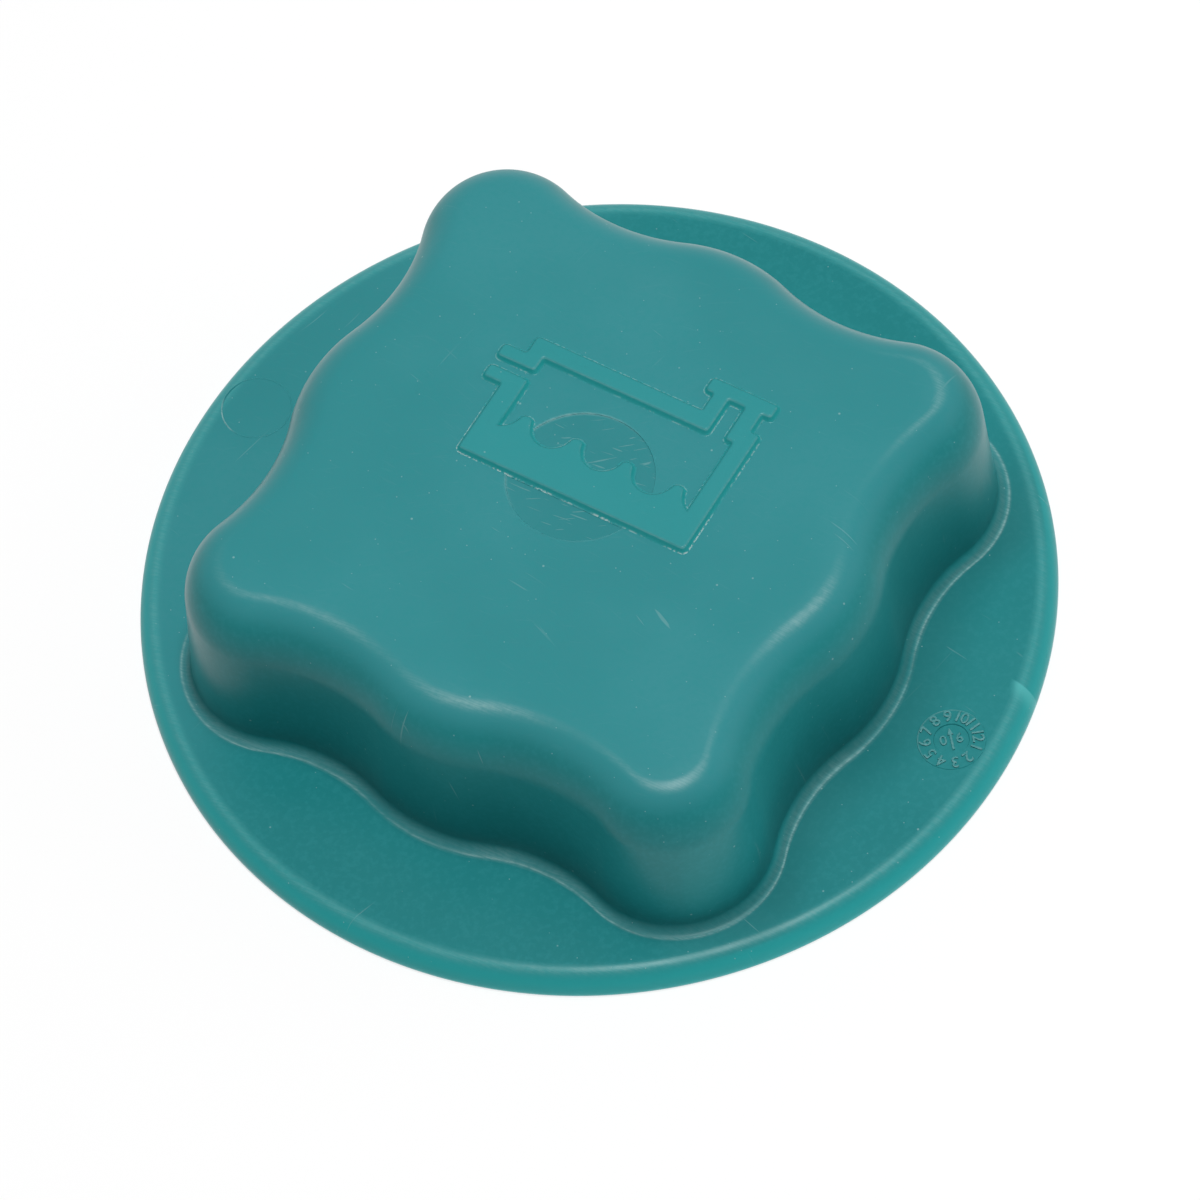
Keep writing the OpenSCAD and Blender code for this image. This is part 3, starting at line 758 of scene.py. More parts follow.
def strips(rings, closed=False):
    """Points of rings of equal length and the faces between them, closed into a loop or open."""
    size, number = len(rings[0]), len(rings)
    points = [tuple(p) for ring_points in rings for p in ring_points]
    faces = []
    for k in range(number if closed else number - 1):
        low, high = k * size, (k + 1) % number * size
        for i in range(size):
            after = (i + 1) % size
            faces.append((low + i, low + after, high + after, high + i))
    return points, faces


def loft(rings, fan=True):
    """Closed skin over rings of equal length, its ends fanned to their middles or left as one face."""
    points, faces = strips(rings)
    size = len(rings[0])
    last = (len(rings) - 1) * size
    if not fan:
        return points, faces + [tuple(range(size)), tuple(last + i for i in range(size))]
    points += [tuple(np.mean(rings[0], 0)), tuple(np.mean(rings[-1], 0))]
    faces += [(len(points) - 2, (i + 1) % size, i) for i in range(size)]
    faces += [(len(points) - 1, last + i, last + (i + 1) % size) for i in range(size)]
    return points, faces


def rounded(corners, bend=0):
    """Points of a closed outline with rounded corners: x, y and, where it isn't the common one, a radius."""
    points = []
    for k, (x, y, *own) in enumerate(corners):
        here = np.array((x, y))
        radius = own[0] if own else bend
        if not radius:
            points.append(here)
            continue
        back = np.array(corners[k - 1][:2]) - here
        ahead = np.array(corners[(k + 1) % len(corners)][:2]) - here
        lengths = np.hypot(*back), np.hypot(*ahead)
        half = math.acos(np.clip(back @ ahead / (lengths[0] * lengths[1]), -1, 1)) / 2
        reach = min(radius / math.tan(half), 0.49 * min(lengths))
        first, final = here + back / lengths[0] * reach, here + ahead / lengths[1] * reach
        for t in np.linspace(0, 1, CORNER_STEPS + 1):
            points.append((1 - t) ** 2 * first + 2 * t * (1 - t) * here + t ** 2 * final)
    return np.array(points)


def revolved(section, steps=TURN_STEPS):
    """Skin of a closed section of radii and heights turned about the axis."""
    turns = np.arange(steps) * math.tau / steps
    return strips([ring(circle(turns, r), z) for r, z in section], closed=True)


def prism(outline, levels):
    """Skin over an outline drawn at several offsets and heights, each level given as offset and height."""
    ahead = np.roll(outline, -1, 0) - outline
    normals = np.column_stack((ahead[:, 1], -ahead[:, 0]))
    normals /= np.linalg.norm(normals, axis=1)[:, None]
    outward = normals + np.roll(normals, 1, 0)
    outward /= np.maximum((outward ** 2).sum(1) / 2, 0.5)[:, None]
    return loft([ring(outline + offset * outward, z) for offset, z in levels], fan=False)


def block(low, high):
    """Skin of an upright bar between two corners."""
    (x0, y0, z0), (x1, y1, z1) = low, high
    outline = np.array(((x0, y0), (x1, y0), (x1, y1), (x0, y1)))
    return loft([ring(outline, z0), ring(outline, z1)], fan=False)


def placed(skin, matrix):
    """A skin moved by a matrix."""
    return [tuple(matrix @ Vector(p)) for p in skin[0]], skin[1]


def joined(skins):
    """Several skins as one."""
    points, faces = [], []
    for skin in skins:
        faces += [tuple(i + len(points) for i in face) for face in skin[1]]
        points += skin[0]
    return points, faces


def ring_of(skin, number, radius=0.0, first=0.0):
    """Copies of a skin at equal angles round the axis."""
    outward = Matrix.Translation((radius, 0, 0))
    turns = (Matrix.Rotation(first + math.tau * k / number, 4, "Z") for k in range(number))
    return joined([placed(skin, turn @ outward) for turn in turns])


def new_object(name, skin):
    """Object with a clean closed mesh of this skin."""
    mesh = bpy.data.meshes.new(name)
    mesh.from_pydata(skin[0], [], skin[1])
    work = bmesh.new()
    work.from_mesh(mesh)
    bmesh.ops.remove_doubles(work, verts=work.verts, dist=1e-7)
    bmesh.ops.dissolve_degenerate(work, edges=work.edges, dist=1e-8)
    bmesh.ops.recalc_face_normals(work, faces=work.faces)
    work.to_mesh(mesh)
    work.free()
    made = bpy.data.objects.new(name, mesh)
    bpy.context.scene.collection.objects.link(made)
    return made


def combine(base, skin, operation):
    """Cuts a skin or an object out of an object, or joins it on."""
    tool = new_object(base.name + "_tool", skin) if isinstance(skin, tuple) else skin
    step = base.modifiers.new("combine", "BOOLEAN")
    step.operation = operation
    step.solver = "MANIFOLD"
    step.object = tool
    shaped = base.evaluated_get(bpy.context.evaluated_depsgraph_get())
    mesh = bpy.data.meshes.new_from_object(shaped)
    base.modifiers.clear()
    spare = base.data, tool.data
    base.data = mesh
    bpy.data.objects.remove(tool)
    for old in spare:
        bpy.data.meshes.remove(old)
    if not mesh.polygons:
        raise RuntimeError(f"{base.name}: nothing is left after {operation.lower()}")
    mesh.name = base.name


def dress(piece, recipe, body, slot, *nodes):
    """Shades a piece, gives it its finish, and fits it to the frame."""
    mesh = piece.data
    mesh.materials.clear()
    mesh.materials.append(finish_of(recipe))
    mesh.polygons.foreach_set("use_smooth", [True] * len(mesh.polygons))
    mesh.set_sharp_from_angle(angle=SHARP_ANGLE)
    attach(piece, body)
    if nodes:
        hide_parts(*nodes)


def set_share(mesh, name, values):
    """Stores a value, cut to 0 to 1, on each point of a mesh, or one value on them all."""
    layer = mesh.attributes.new(name, "FLOAT", "POINT")
    shares = np.broadcast_to(np.clip(values, 0, 1), len(mesh.vertices))
    layer.data.foreach_set("value", shares.astype(np.float32))


def mesh_values(mesh, name="co"):
    """Places or normals of a mesh's points, one row each."""
    flat = np.zeros(len(mesh.vertices) * 3, np.float32)
    mesh.vertices.foreach_get(name, flat)
    return flat.reshape(-1, 3).astype(float)


def reach_at(outline, turns):
    """How far an outline round the axis reaches out at each bearing."""
    reach, bearings = polar(outline)
    return np.interp(turns, bearings, reach, period=math.tau)


# Stretches of the roof's edge that are scuffed and carry painted highlights: bearing and spread in degrees,
# and how much
EDGE_SCUFFS_AND_HIGHLIGHTS = (
    (-90, 9, 0.55), (-127, 13, 0.75), (-52, 11, 0.75), (-2, 8, 0.5), (186, 8, 0.26), (-162, 11, 0.42),
)


def rub_edges(mesh, grip, marks):
    """Marks where the shell shows handling wear, and where light is painted: painted highlights on edges,
    painted sheen, painted light on the rim and painted shade next to the grip.
    """
    points = mesh_values(mesh)
    x, y, z = points.T
    reach, turns = polar(points)
    past_toe = reach - reach_at(grip_outline(grip, 0), turns)
    past_edge = reach - reach_at(grip_outline(grip, grip_section(grip)[0][0]), turns)
    crease_r = grip.flange_r - grip.rim_width
    on_flange = (np.abs(z - grip.flange_t) < 0.25 * MM) & (reach > 0.9 * grip.side_r)
    toe = band(past_toe, 0.12 * MM) * on_flange
    # Painted sheen with tool marks: a pale grey band on the fillet; the toe line at its foot is edge wear.
    fillet = band(past_toe + 0.5 * grip.base_fillet, 0.4 * grip.base_fillet)
    fillet *= (z < grip.flange_t + 1.1 * grip.base_fillet) & (z > grip.flange_t - 0.1 * MM)
    # Painted highlight: a pale band along the rim's crease.
    crease = band(reach - crease_r - 0.4 * MM, 0.4 * MM) * (z > 0.5 * grip.flange_t)
    foot = band(z - grip.rim_foot, 0.12 * MM) * (reach > crease_r)
    shoulder = band(past_edge - 0.7 * MM, 0.45 * MM) * (z > grip.roof_z - 0.8 * MM)
    # Painted highlights, with scuffing, on the front-facing stretches of the roof's edge.
    edge_scuffs_and_highlights = sum(
        weight * band((turns - math.radians(bearing) + math.pi) % math.tau - math.pi, math.radians(spread))
        for bearing, spread, weight in EDGE_SCUFFS_AND_HIGHLIGHTS
    )
    # Wear flecks on the round mark's edge, with a painted highlight that makes its far side paler.
    away = np.clip((y - 0.3 * x) / grip.witness_r, 0, 1)
    witness = band(reach - grip.witness_r, 0.1 * MM) * away * (z > grip.roof_z - grip.dish - MM)
    # Wear flecks on the dial's edge, with a painted highlight on its far side.
    dial = points[:, :2] - marks.dial_at_r * heading(marks.dial_at)
    dial_edge = band(polar(dial)[0] - marks.dial_r, 0.05 * MM) * (z > grip.flange_t + 0.02 * MM)
    dial_edge *= np.clip(0.3 + (dial[:, 1] - 0.5 * dial[:, 0]) / marks.dial_r, 0, 1)
    patchy = 0.9 - 0.35 * np.cos(7 * (turns + math.pi / 2)) + 0.2 * np.sin(23 * turns)
    # Painted shade: on the right-hand side the fillet and the flange close to the grip are painted darker
    # where the wall shades them.
    right_side = smooth_share((math.radians(57) - np.abs(turns - math.radians(-45))) / math.radians(24))
    right_fillet_shade = right_side * fillet
    shade_beside_grip = right_side * (1 - smooth_share(past_toe / (6 * MM))) * on_flange * (past_toe >= 0)
    rub_and_highlight = 0.27 * crease + 0.45 * foot + 0.95 * witness + 0.5 * dial_edge + edge_scuffs_and_highlights * shoulder
    rub_and_highlight += patchy * (0.95 * toe + 0.28 * fillet - 0.1 * right_fillet_shade)
    # The roof is painted lighter than walls and flange, partly wear and partly painted light; the flange's
    # back-left side gets a painted reflection, a pale veil; the fillet gets a painted sheen.
    roof = smooth_share((z - grip.roof_z + 1.9 * MM) / (1.5 * MM))
    dulled = smooth_share((0.7 * (y - x) / grip.flange_r - 0.3) / 0.45) * (z < grip.flange_t + 0.1 * MM)
    set_share(mesh, "painted_shade", 0.75 * right_fillet_shade + 0.5 * shade_beside_grip)
    set_share(mesh, "rub_and_highlight", rub_and_highlight)
    # Painted light: the rim is painted lighter from its crease outwards, and a painted highlight lies along
    # the crease.
    set_share(mesh, "painted_light", np.maximum(smooth_share((reach - crease_r) / grip.rim_width), 0.5 * crease))
    set_share(mesh, "wear_and_sheen", roof + dulled + 0.5 * (fillet - right_fillet_shade))


def thread_ridge(socket):
    """Skin of the neck thread's ridge, a right-hand helix that fades out at both ends."""
    root, base, tip = socket.thread_r + 0.3 * MM, socket.thread_base_w / 2, socket.thread_crest_w / 2
    whole = math.tau * (socket.thread_high_z - socket.thread_low_z) / socket.thread_pitch
    rings = []
    for turn in np.linspace(0, whole, int(TURN_STEPS * whole / math.tau)):
        full = smooth_share(min(turn, whole - turn) / socket.thread_run_out)
        crest = socket.thread_r - socket.thread_depth * full + 0.1 * MM * (1 - full)
        section = rounded([(root, -base, 0), (root, base, 0), (crest, tip), (crest, -tip)], 0.35 * MM)
        z = socket.thread_low_z + socket.thread_pitch * turn / math.tau
        rings.append(upright(section[:, 0], section[:, 1] + z, turn))
    return loft(rings, fan=False)


def socket_section(socket):
    """Section of the threaded bore and the room above the cartridge, as one cutting solid."""
    mouth_r = socket.thread_r + socket.mouth_chamfer + MM
    return rounded([
        (0, -MM, 0), (mouth_r, -MM, 0), (socket.thread_r, socket.mouth_chamfer),
        (socket.thread_r, socket.seat_z), (socket.room_r, socket.seat_z, 0.2 * MM),
        (socket.room_r, socket.ceiling_z, 0.4 * MM), (0, socket.ceiling_z, 0),
    ], 0.3 * MM)


def collar_section(socket):
    """Section of the collar that the cartridge's sleeve snaps into."""
    bore_r, groove_r, bend = socket.collar_r, socket.groove_r, 0.15 * MM
    outer_r, sunk = bore_r + socket.collar_wall, socket.ceiling_z + 0.4 * MM
    middle = (socket.seat_z + socket.ceiling_z - 0.4 * MM) / 2
    groove_low, groove_high = middle - socket.groove_h / 2, middle + socket.groove_h / 2
    return rounded([
        (bore_r, socket.seat_z, bend), (outer_r, socket.seat_z, bend), (outer_r, sunk), (bore_r, sunk),
        (bore_r, groove_high), (groove_r, groove_high), (groove_r, groove_low), (bore_r, groove_low),
    ])


def core_out(shell, grip, socket):
    """Cuts the lobe pockets, with the socket left standing in them, and the threaded bore."""
    below = -5 * MM
    post = [(0, below), (socket.socket_r, below), (socket.socket_r, grip.roof_z), (0, grip.roof_z)]
    pockets = new_object("pockets", loft(pocket_rings(grip, socket)))
    combine(pockets, revolved(post, 2 * TURN_STEPS), "DIFFERENCE")
    combine(shell, pockets, "DIFFERENCE")
    combine(shell, revolved(socket_section(socket), 2 * TURN_STEPS), "DIFFERENCE")


def add_seat(shell, socket):
    """Joins on the slotted collar and the ribs that the cartridge seats on."""
    half_slot, half_rib = socket.vent_slot_w / 2, socket.rib_t / 2
    slot = block(
        (socket.collar_r - MM, -half_slot, socket.seat_z - MM),
        (socket.collar_r + socket.collar_wall + MM, half_slot, socket.ceiling_z),
    )
    rib = block(
        (socket.collar_r + socket.collar_wall / 2, -half_rib, socket.seat_z),
        (socket.room_r + 0.3 * MM, half_rib, socket.ceiling_z + 0.2 * MM),
    )
    collar = new_object("collar", revolved(collar_section(socket), 2 * TURN_STEPS))
    combine(collar, ring_of(slot, socket.rib_count // 2, first=math.pi / socket.rib_count), "DIFFERENCE")
    combine(shell, collar, "UNION")
    combine(shell, ring_of(rib, socket.rib_count), "UNION")


def mark_flange(shell, grip, marks):
    """Raises the date dial's disc, sinks its hub and cuts the ejectors' marks into the underside."""
    flange, level = grip.flange_t, grip.flange_t + marks.dial_lift
    edge_r, buried = marks.dial_r + 0.04 * MM, flange - 0.3 * MM
    disc = [
        (0, buried), (edge_r, buried), (edge_r, flange),
        (marks.dial_r, level), (marks.dial_r - 0.15 * MM, level), (0, level),
    ]
    hub_r, wide_r = marks.dial_hub_r, marks.dial_hub_r + 0.05 * MM
    sunk, over = level - marks.dial_depth, flange + MM
    hub = [(0, sunk), (hub_r, sunk), (wide_r, level), (wide_r, over), (0, over)]
    spot = Matrix.Translation((*(marks.dial_at_r * heading(marks.dial_at)), 0))
    combine(shell, placed(revolved(disc, MARK_STEPS), spot), "UNION")
    combine(shell, placed(revolved(hub, MARK_STEPS), spot), "DIFFERENCE")
    pin_r, deep = marks.eject_r, marks.eject_depth
    pin = [(0, -MM), (pin_r + deep, -MM), (pin_r + deep, 0), (pin_r, deep), (0, deep)]
    pins = ring_of(revolved(pin, EJECTOR_STEPS), 4, marks.eject_at_r, math.pi / 4)
    combine(shell, pins, "DIFFERENCE")


class CapShellOperator(bpy.types.Operator):
    """Build the moulded shell: grip, flange, lobe pockets, socket and neck thread"""

    bl_idname = "pressure_cap.shell"
    bl_label = "Shell"

    def execute(self, context):
        settings = context.scene.pressure_cap
        grip, socket, marks = settings.grip, settings.socket, settings.marks
        shell = new_object("shell", loft(shell_rings(grip)))
        core_out(shell, grip, socket)
        add_seat(shell, socket)
        combine(shell, thread_ridge(socket), "UNION")
        mark_flange(shell, grip, marks)
        rub_edges(shell.data, grip, marks)
        dress(shell, teal_moulding, "cap", "shell_plastic", "cap_shell")
        return {"FINISHED"}


def wave_line(marks, start, end):
    """Sharp corners of the waves from right to left: round troughs that meet in crests."""
    half, depth = marks.wave_pitch / 2, marks.wave_high - marks.wave_low
    bite = half - marks.crest_w / 2
    bend_r = (bite ** 2 + depth ** 2) / (2 * depth)
    points = []
    for x in (*np.arange(start, end, -0.12 * MM).tolist(), end):
        from_middle = abs((x - marks.wave_first + half) % marks.wave_pitch - half)
        trough = bend_r - math.sqrt(bend_r ** 2 - min(bite, from_middle) ** 2)
        tip = max(0, from_middle - bite) * (marks.wave_pitch - bite - from_middle) / (half - bite) ** 2
        points.append((x, marks.wave_low + trough + 0.22 * MM * tip, 0))
    return points


def tank_outline(marks):
    """The raised line drawing of an expansion tank with waves, as one closed outline."""
    left, right, low, high = marks.tank_left, marks.tank_right, marks.tank_low, marks.tank_high
    wall_left, inner_left = left + 0.35 * MM, left + marks.bar_w + 0.2 * MM
    inner_right, inner_high = right - marks.bar_w, high - marks.bar_w
    stub_end, stub_h = left - 1.85 * MM, 1.2 * MM
    upper_stub, lower_stub = high - 1.9 * MM, high - 4.25 * MM
    neck_out, neck_in, neck_foot = right - 0.9 * MM, right - 2.4 * MM, inner_high + 0.1 * MM
    neck_far, neck_far_in = right - 5.5 * MM, right - 4.15 * MM
    cap_far, cap_low, cap_high = right - 6.35 * MM, high + 2.05 * MM, high + 3.35 * MM
    return rounded([
        (left, low), (right, low), (right, high), (neck_out, high), (neck_out, cap_low), (right, cap_low),
        (right, cap_high), (cap_far, cap_high), (cap_far, cap_low), (neck_far, cap_low), (neck_far, high),
        (wall_left, high), (wall_left, upper_stub), (stub_end, upper_stub), (stub_end, upper_stub - stub_h),
        (inner_left, upper_stub - stub_h), (inner_left, inner_high), (neck_far_in, inner_high),
        (neck_far_in, cap_low), (neck_in, cap_low), (neck_in, neck_foot), (inner_right, neck_foot),
        *wave_line(marks, inner_right, inner_left),
        (inner_left, lower_stub), (stub_end, lower_stub), (stub_end, lower_stub - stub_h),
        (left, lower_stub - stub_h),
    ], 0.32 * MM)


# The symbol's edge in millimetres: offset with height above the roof, and offset with depth below its top
SYMBOL_FOOT = ((0.4, -0.15), (0.37, -0.006), (0.31, 0.01), (0.26, 0.04), (0.21, 0.1))
SYMBOL_HEAD = ((0.09, 0.2), (0.05, 0.13), (0, 0.065), (-0.07, 0.02), (-0.14, 0.003), (-0.2, 0))


class CapSymbolOperator(bpy.types.Operator):
    """Build the raised tank symbol on the roof"""

    bl_idname = "pressure_cap.symbol"
    bl_label = "Roof symbol"

    def execute(self, context):
        grip, marks = context.scene.pressure_cap.grip, context.scene.pressure_cap.marks
        roof = grip.roof_z - grip.dish
        top = roof + marks.symbol_h
        levels = [(offset * MM, roof + height * MM) for offset, height in SYMBOL_FOOT]
        levels += [(offset * MM, top - depth * MM) for offset, depth in SYMBOL_HEAD]
        symbol = new_object("roof_symbol", prism(tank_outline(marks), levels))
        mesh = symbol.data
        _, y, z = mesh_values(mesh).T
        low_side = np.clip((marks.wave_low - y) / (marks.wave_low - marks.tank_low), 0.45, 1)
        foot = np.clip((roof + 0.09 * MM - z) / (0.06 * MM), 0, 1)
        rim = band(z - top + 0.06 * MM, 0.05 * MM)
        side = smooth_share((top - z) / (0.2 * MM)) * (1 - foot)
        # Edges that face the front get a painted highlight, and edges that face the back get painted shade.
        toward = 1.6 * mesh_values(mesh, "normal")[:, :2] @ heading(-marks.symbol_turn - math.pi / 2)
        set_share(mesh, "residue", foot * low_side)
        set_share(mesh, "rub_and_highlight", 0.6 * rim * np.clip(toward, 0, 1))
        set_share(mesh, "painted_shade", 0.7 * rim * np.clip(-toward, 0, 1))
        # Painted light: the symbol's sides are painted lighter to lift their shading, and its top a little
        # lighter than the roof.
        set_share(mesh, "painted_light", 0.28 + 0.72 * side)
        set_share(mesh, "wear_and_sheen", 0.8)
        set_share(mesh, "raised", 1)
        mesh.transform(Matrix.Rotation(marks.symbol_turn, 4, "Z"))
        dress(symbol, teal_moulding, "cap", "shell_plastic")
        return {"FINISHED"}


def figure_skin(text, size, depth):
    """Skin of one raised figure, centred on the origin with its top towards +Y."""
    bevel = 0.035 * MM
    letters = bpy.data.curves.new("figure", "FONT")
    letters.body = text
    letters.size = size
    letters.extrude = depth - bevel
    letters.bevel_depth = bevel
    letters.bevel_resolution = 1
    letters.offset = -0.012 * MM
    letters.space_character = 0.84
    letters.align_x = "CENTER"
    letters.align_y = "CENTER"
    holder = bpy.data.objects.new("figure", letters)
    bpy.context.scene.collection.objects.link(holder)
    mesh = bpy.data.meshes.new_from_object(holder.evaluated_get(bpy.context.evaluated_depsgraph_get()))
    skin = [tuple(v.co) for v in mesh.vertices], [tuple(p.vertices) for p in mesh.polygons]
    bpy.data.objects.remove(holder)
    bpy.data.curves.remove(letters)
    bpy.data.meshes.remove(mesh)
    return skin


# The date dial's arrow in millimetres
ARROW = ((-0.08, -1.0), (0.08, -1.0), (0.08, 0.5), (0.22, 0.5), (0.0, 1.15), (-0.22, 0.5), (-0.08, 0.5))


def dial_skin(marks, raised):
    """Twelve figures of the date dial, and its arrow between two figures on the sunk hub."""
    skins = []
    outward = Matrix.Translation((0, marks.figure_at_r, 0))
    for number in range(1, 13):
        turn = marks.dial_zero - math.radians(30) * number - math.pi / 2
        figure = figure_skin(str(number), marks.figure_h, raised)
        skins.append(placed(figure, Matrix.Rotation(turn, 4, "Z") @ outward))
    arrow = prism(np.array(ARROW) * MM, [(0.05 * MM, -2 * raised), (0.03 * MM, 0.6 * raised), (0, raised)])
    year = [figure_skin(text, 0.88 * marks.figure_h, raised) for text in ("0", "6")]
    aim = Matrix.Rotation(marks.dial_aim, 4, "Z")
    for skin, x in ((arrow, 0), (year[0], -0.7 * MM), (year[1], 0.7 * MM)):
        skins.append(placed(skin, aim @ Matrix.Translation((x, 0, -marks.dial_depth))))
    return joined(skins)


def bead_ring(radius, width, height):
    """Fine raised ring round the origin, sunk a little below it."""
    return revolved(rounded([
        (radius - width, -height, 0), (radius + width, -height, 0),
        (radius + 0.5 * width, height), (radius - 0.5 * width, height),
    ], 0.6 * height), MARK_STEPS)


class CapFlangeMarksOperator(bpy.types.Operator):
    """Build the date dial and the plain insert's ring on the flange"""

    bl_idname = "pressure_cap.flange_marks"
    bl_label = "Flange marks"

    def execute(self, context):
        grip, marks = context.scene.pressure_cap.grip, context.scene.pressure_cap.marks
        raised, level = 0.12 * MM, grip.flange_t + marks.dial_lift
        spot = np.array((*(marks.dial_at_r * heading(marks.dial_at)), level))
        dial = new_object("date_dial", placed(dial_skin(marks, raised), Matrix.Translation(spot)))
        local = mesh_values(dial.data) - spot
        heights = local[:, 2] + marks.dial_depth * (polar(local)[0] < marks.dial_hub_r)
        # Painted highlight with wear: the figures' tops are painted paler.
        set_share(dial.data, "rub_and_highlight", 0.5 * smooth_share((heights - 0.3 * raised) / (0.6 * raised)))
        dress(dial, teal_moulding, "cap", "shell_plastic")

        spot = np.array((*(marks.insert_at_r * heading(marks.insert_at)), grip.flange_t))
        plain = bead_ring(marks.insert_r, 0.08 * MM, 0.022 * MM)
        insert = new_object("insert_ring", placed(plain, Matrix.Translation(spot)))
        out = (spot[0] - mesh_values(insert.data)[:, 0]) / marks.insert_r
        set_share(insert.data, "wear_and_sheen", 1)
        set_share(insert.data, "rub_and_highlight", smooth_share((out - 0.75) / 0.2))
        dress(insert, teal_moulding, "cap", "shell_plastic")
        return {"FINISHED"}


class CapSealsOperator(bpy.types.Operator):
    """Build the rubber neck gasket and pressure seal"""

    bl_idname = "pressure_cap.seals"
    bl_label = "Rubber seals"

    def execute(self, context):
        valve = context.scene.pressure_cap.valve
        flash = 0.04 * MM
        rings = (
            ("gasket_ring", "neck_gasket", "cap", valve.gasket_in_r, GASKET),
            ("seal_ring", "pressure_seal", "pressure_valve", valve.seal_hole_r, SEAL),
        )
        for name, node, body, bore_r, (low, high) in rings:
            edge, middle = high.x - flash, (low.z + high.z) / 2
            section = rounded([
                (bore_r, low.z), (edge, low.z), (edge, middle - 2 * flash, 0), (high.x, middle, 0),
                (edge, middle + 2 * flash, 0), (edge, high.z), (bore_r, high.z),
            ], 0.22 * MM)
            dress(new_object(name, revolved(section)), moulded_rubber, body, "rubber", node)
        return {"FINISHED"}


def housing_section(valve):
    """Section of the cartridge's housing, with its moulded edges rounded."""
    low, high = HOUSING[0].z, HOUSING[1].z
    flange_r, seat_z = HOUSING[1].x, GASKET[1].z + 1.4 * MM
    hub_z, floor_z = GASKET[0].z + valve.hub_short, low + valve.floor_t
    snap_r, snap_z = valve.tube_r + valve.snap_out, (seat_z + high) / 2
    lip_r, lip_z = valve.chamber_r - valve.lip_in, high - valve.lip_t
    bead_r, bend = valve.port_r + valve.bead_w, 0.15 * MM
    return rounded([
        (valve.port_r, low), (valve.tube_r - valve.tube_chamfer, low, 2 * bend),
        (valve.tube_r, low + valve.tube_chamfer, 2 * bend), (valve.tube_r, hub_z),
        (valve.hub_r, hub_z), (valve.hub_r, GASKET[1].z), (flange_r, GASKET[1].z), (flange_r, seat_z),
        (valve.tube_r, seat_z), (valve.tube_r, snap_z - valve.snap_h / 2), (snap_r, snap_z),
        (valve.tube_r, snap_z + valve.snap_h / 2), (valve.tube_r, high), (lip_r, high), (lip_r, lip_z),
        (valve.chamber_r, lip_z), (valve.chamber_r, floor_z, 2 * bend), (bead_r, floor_z),
        (bead_r, SEAL[0].z), (valve.port_r, SEAL[0].z),
    ], bend)


class CapHousingOperator(bpy.types.Operator):
    """Build the cartridge's black housing with its guide ribs"""

    bl_idname = "pressure_cap.housing"
    bl_label = "Valve housing"

    def execute(self, context):
        valve = context.scene.pressure_cap.valve
        housing = new_object("housing", revolved(housing_section(valve)))
        guide = block(
            (valve.guide_r, -valve.guide_t / 2, HOUSING[0].z + valve.floor_t / 2),
            ((valve.chamber_r + valve.tube_r) / 2, valve.guide_t / 2, valve.guide_top_z),
        )
        combine(housing, ring_of(guide, valve.guide_count), "UNION")
        dress(housing, black_moulding, "cap", "housing_plastic", "valve_housing")
        return {"FINISHED"}


def drill(piece, number, at_r, hole_r, low_z, high_z):
    """Cuts a circle of round holes through a piece."""
    pin = revolved([(0, low_z), (hole_r, low_z), (hole_r, high_z), (0, high_z)], HOLE_STEPS)
    combine(piece, ring_of(pin, number, at_r), "DIFFERENCE")


class CapValvePlatesOperator(bpy.types.Operator):
    """Build the spring cover and the pressure plate"""

    bl_idname = "pressure_cap.plates"
    bl_label = "Cover and plate"

    def execute(self, context):
        valve = context.scene.pressure_cap.valve
        bend, ring_r, ring_in_r = 0.15 * MM, valve.ring_out_r, valve.ring_out_r - valve.ring_w

        low, high, edge_r = COVER[0].z, COVER[1].z, COVER[1].x
        face = low + valve.ring_h
        section = rounded([
            (0, face, 0), (ring_in_r, face), (ring_in_r, low), (ring_r, low),
            (ring_r, face), (edge_r, face), (edge_r, high), (0, high, 0),
        ], bend)
        cover = new_object("cover", revolved(section))
        drill(cover, valve.hole_count, valve.cover_vent_at, valve.cover_vent_r, low, high + MM)
        dress(cover, natural_moulding, "cap", "valve_plastic", "spring_cover")

        low, high, edge_r = PLATE[0].z, PLATE[1].z, PLATE[1].x
        face, under = high - valve.ring_h, SEAL[1].z
        bore_r, rim_in_r = valve.stem_bore_r, edge_r - valve.plate_rim_w
        section = rounded([
            (bore_r, under), (rim_in_r, under), (rim_in_r, low), (edge_r, low), (edge_r, face),
            (ring_r, face), (ring_r, high), (ring_in_r, high), (ring_in_r, face), (bore_r, face),
        ], bend)
        plate = new_object("plate", revolved(section))
        drill(plate, valve.hole_count, valve.air_hole_at, valve.air_hole_r, low, high + MM)
        dress(plate, natural_moulding, "pressure_valve", "valve_plastic", "pressure_plate")
        return {"FINISHED"}


def coil_skin(coil_r, wire, low, high, turns):
    """Skin of a compression spring whose closed ends are ground flat at two levels."""
    at = np.linspace(0, turns, int(turns * COIL_STEPS) + 1)
    close_pitch = 1.1 * wire
    open_pitch = (high - low - 2 * close_pitch) / (turns - 2)
    opening = smooth_share((at - 0.8) / 0.4) * smooth_share((turns - 0.8 - at) / 0.4)
    pitch = close_pitch + (open_pitch - close_pitch) * opening
    climb = np.concatenate(([0], np.cumsum((pitch[1:] + pitch[:-1]) / 2)))
    climb *= (high - low) / climb[-1]
    around = circle(np.arange(WIRE_SIDES) * math.tau / WIRE_SIDES, wire / 2)
    return loft([
        upright(coil_r + around[:, 0], np.clip(z + around[:, 1], low, high), turn)
        for turn, z in zip(at * math.tau, low + climb)
    ])


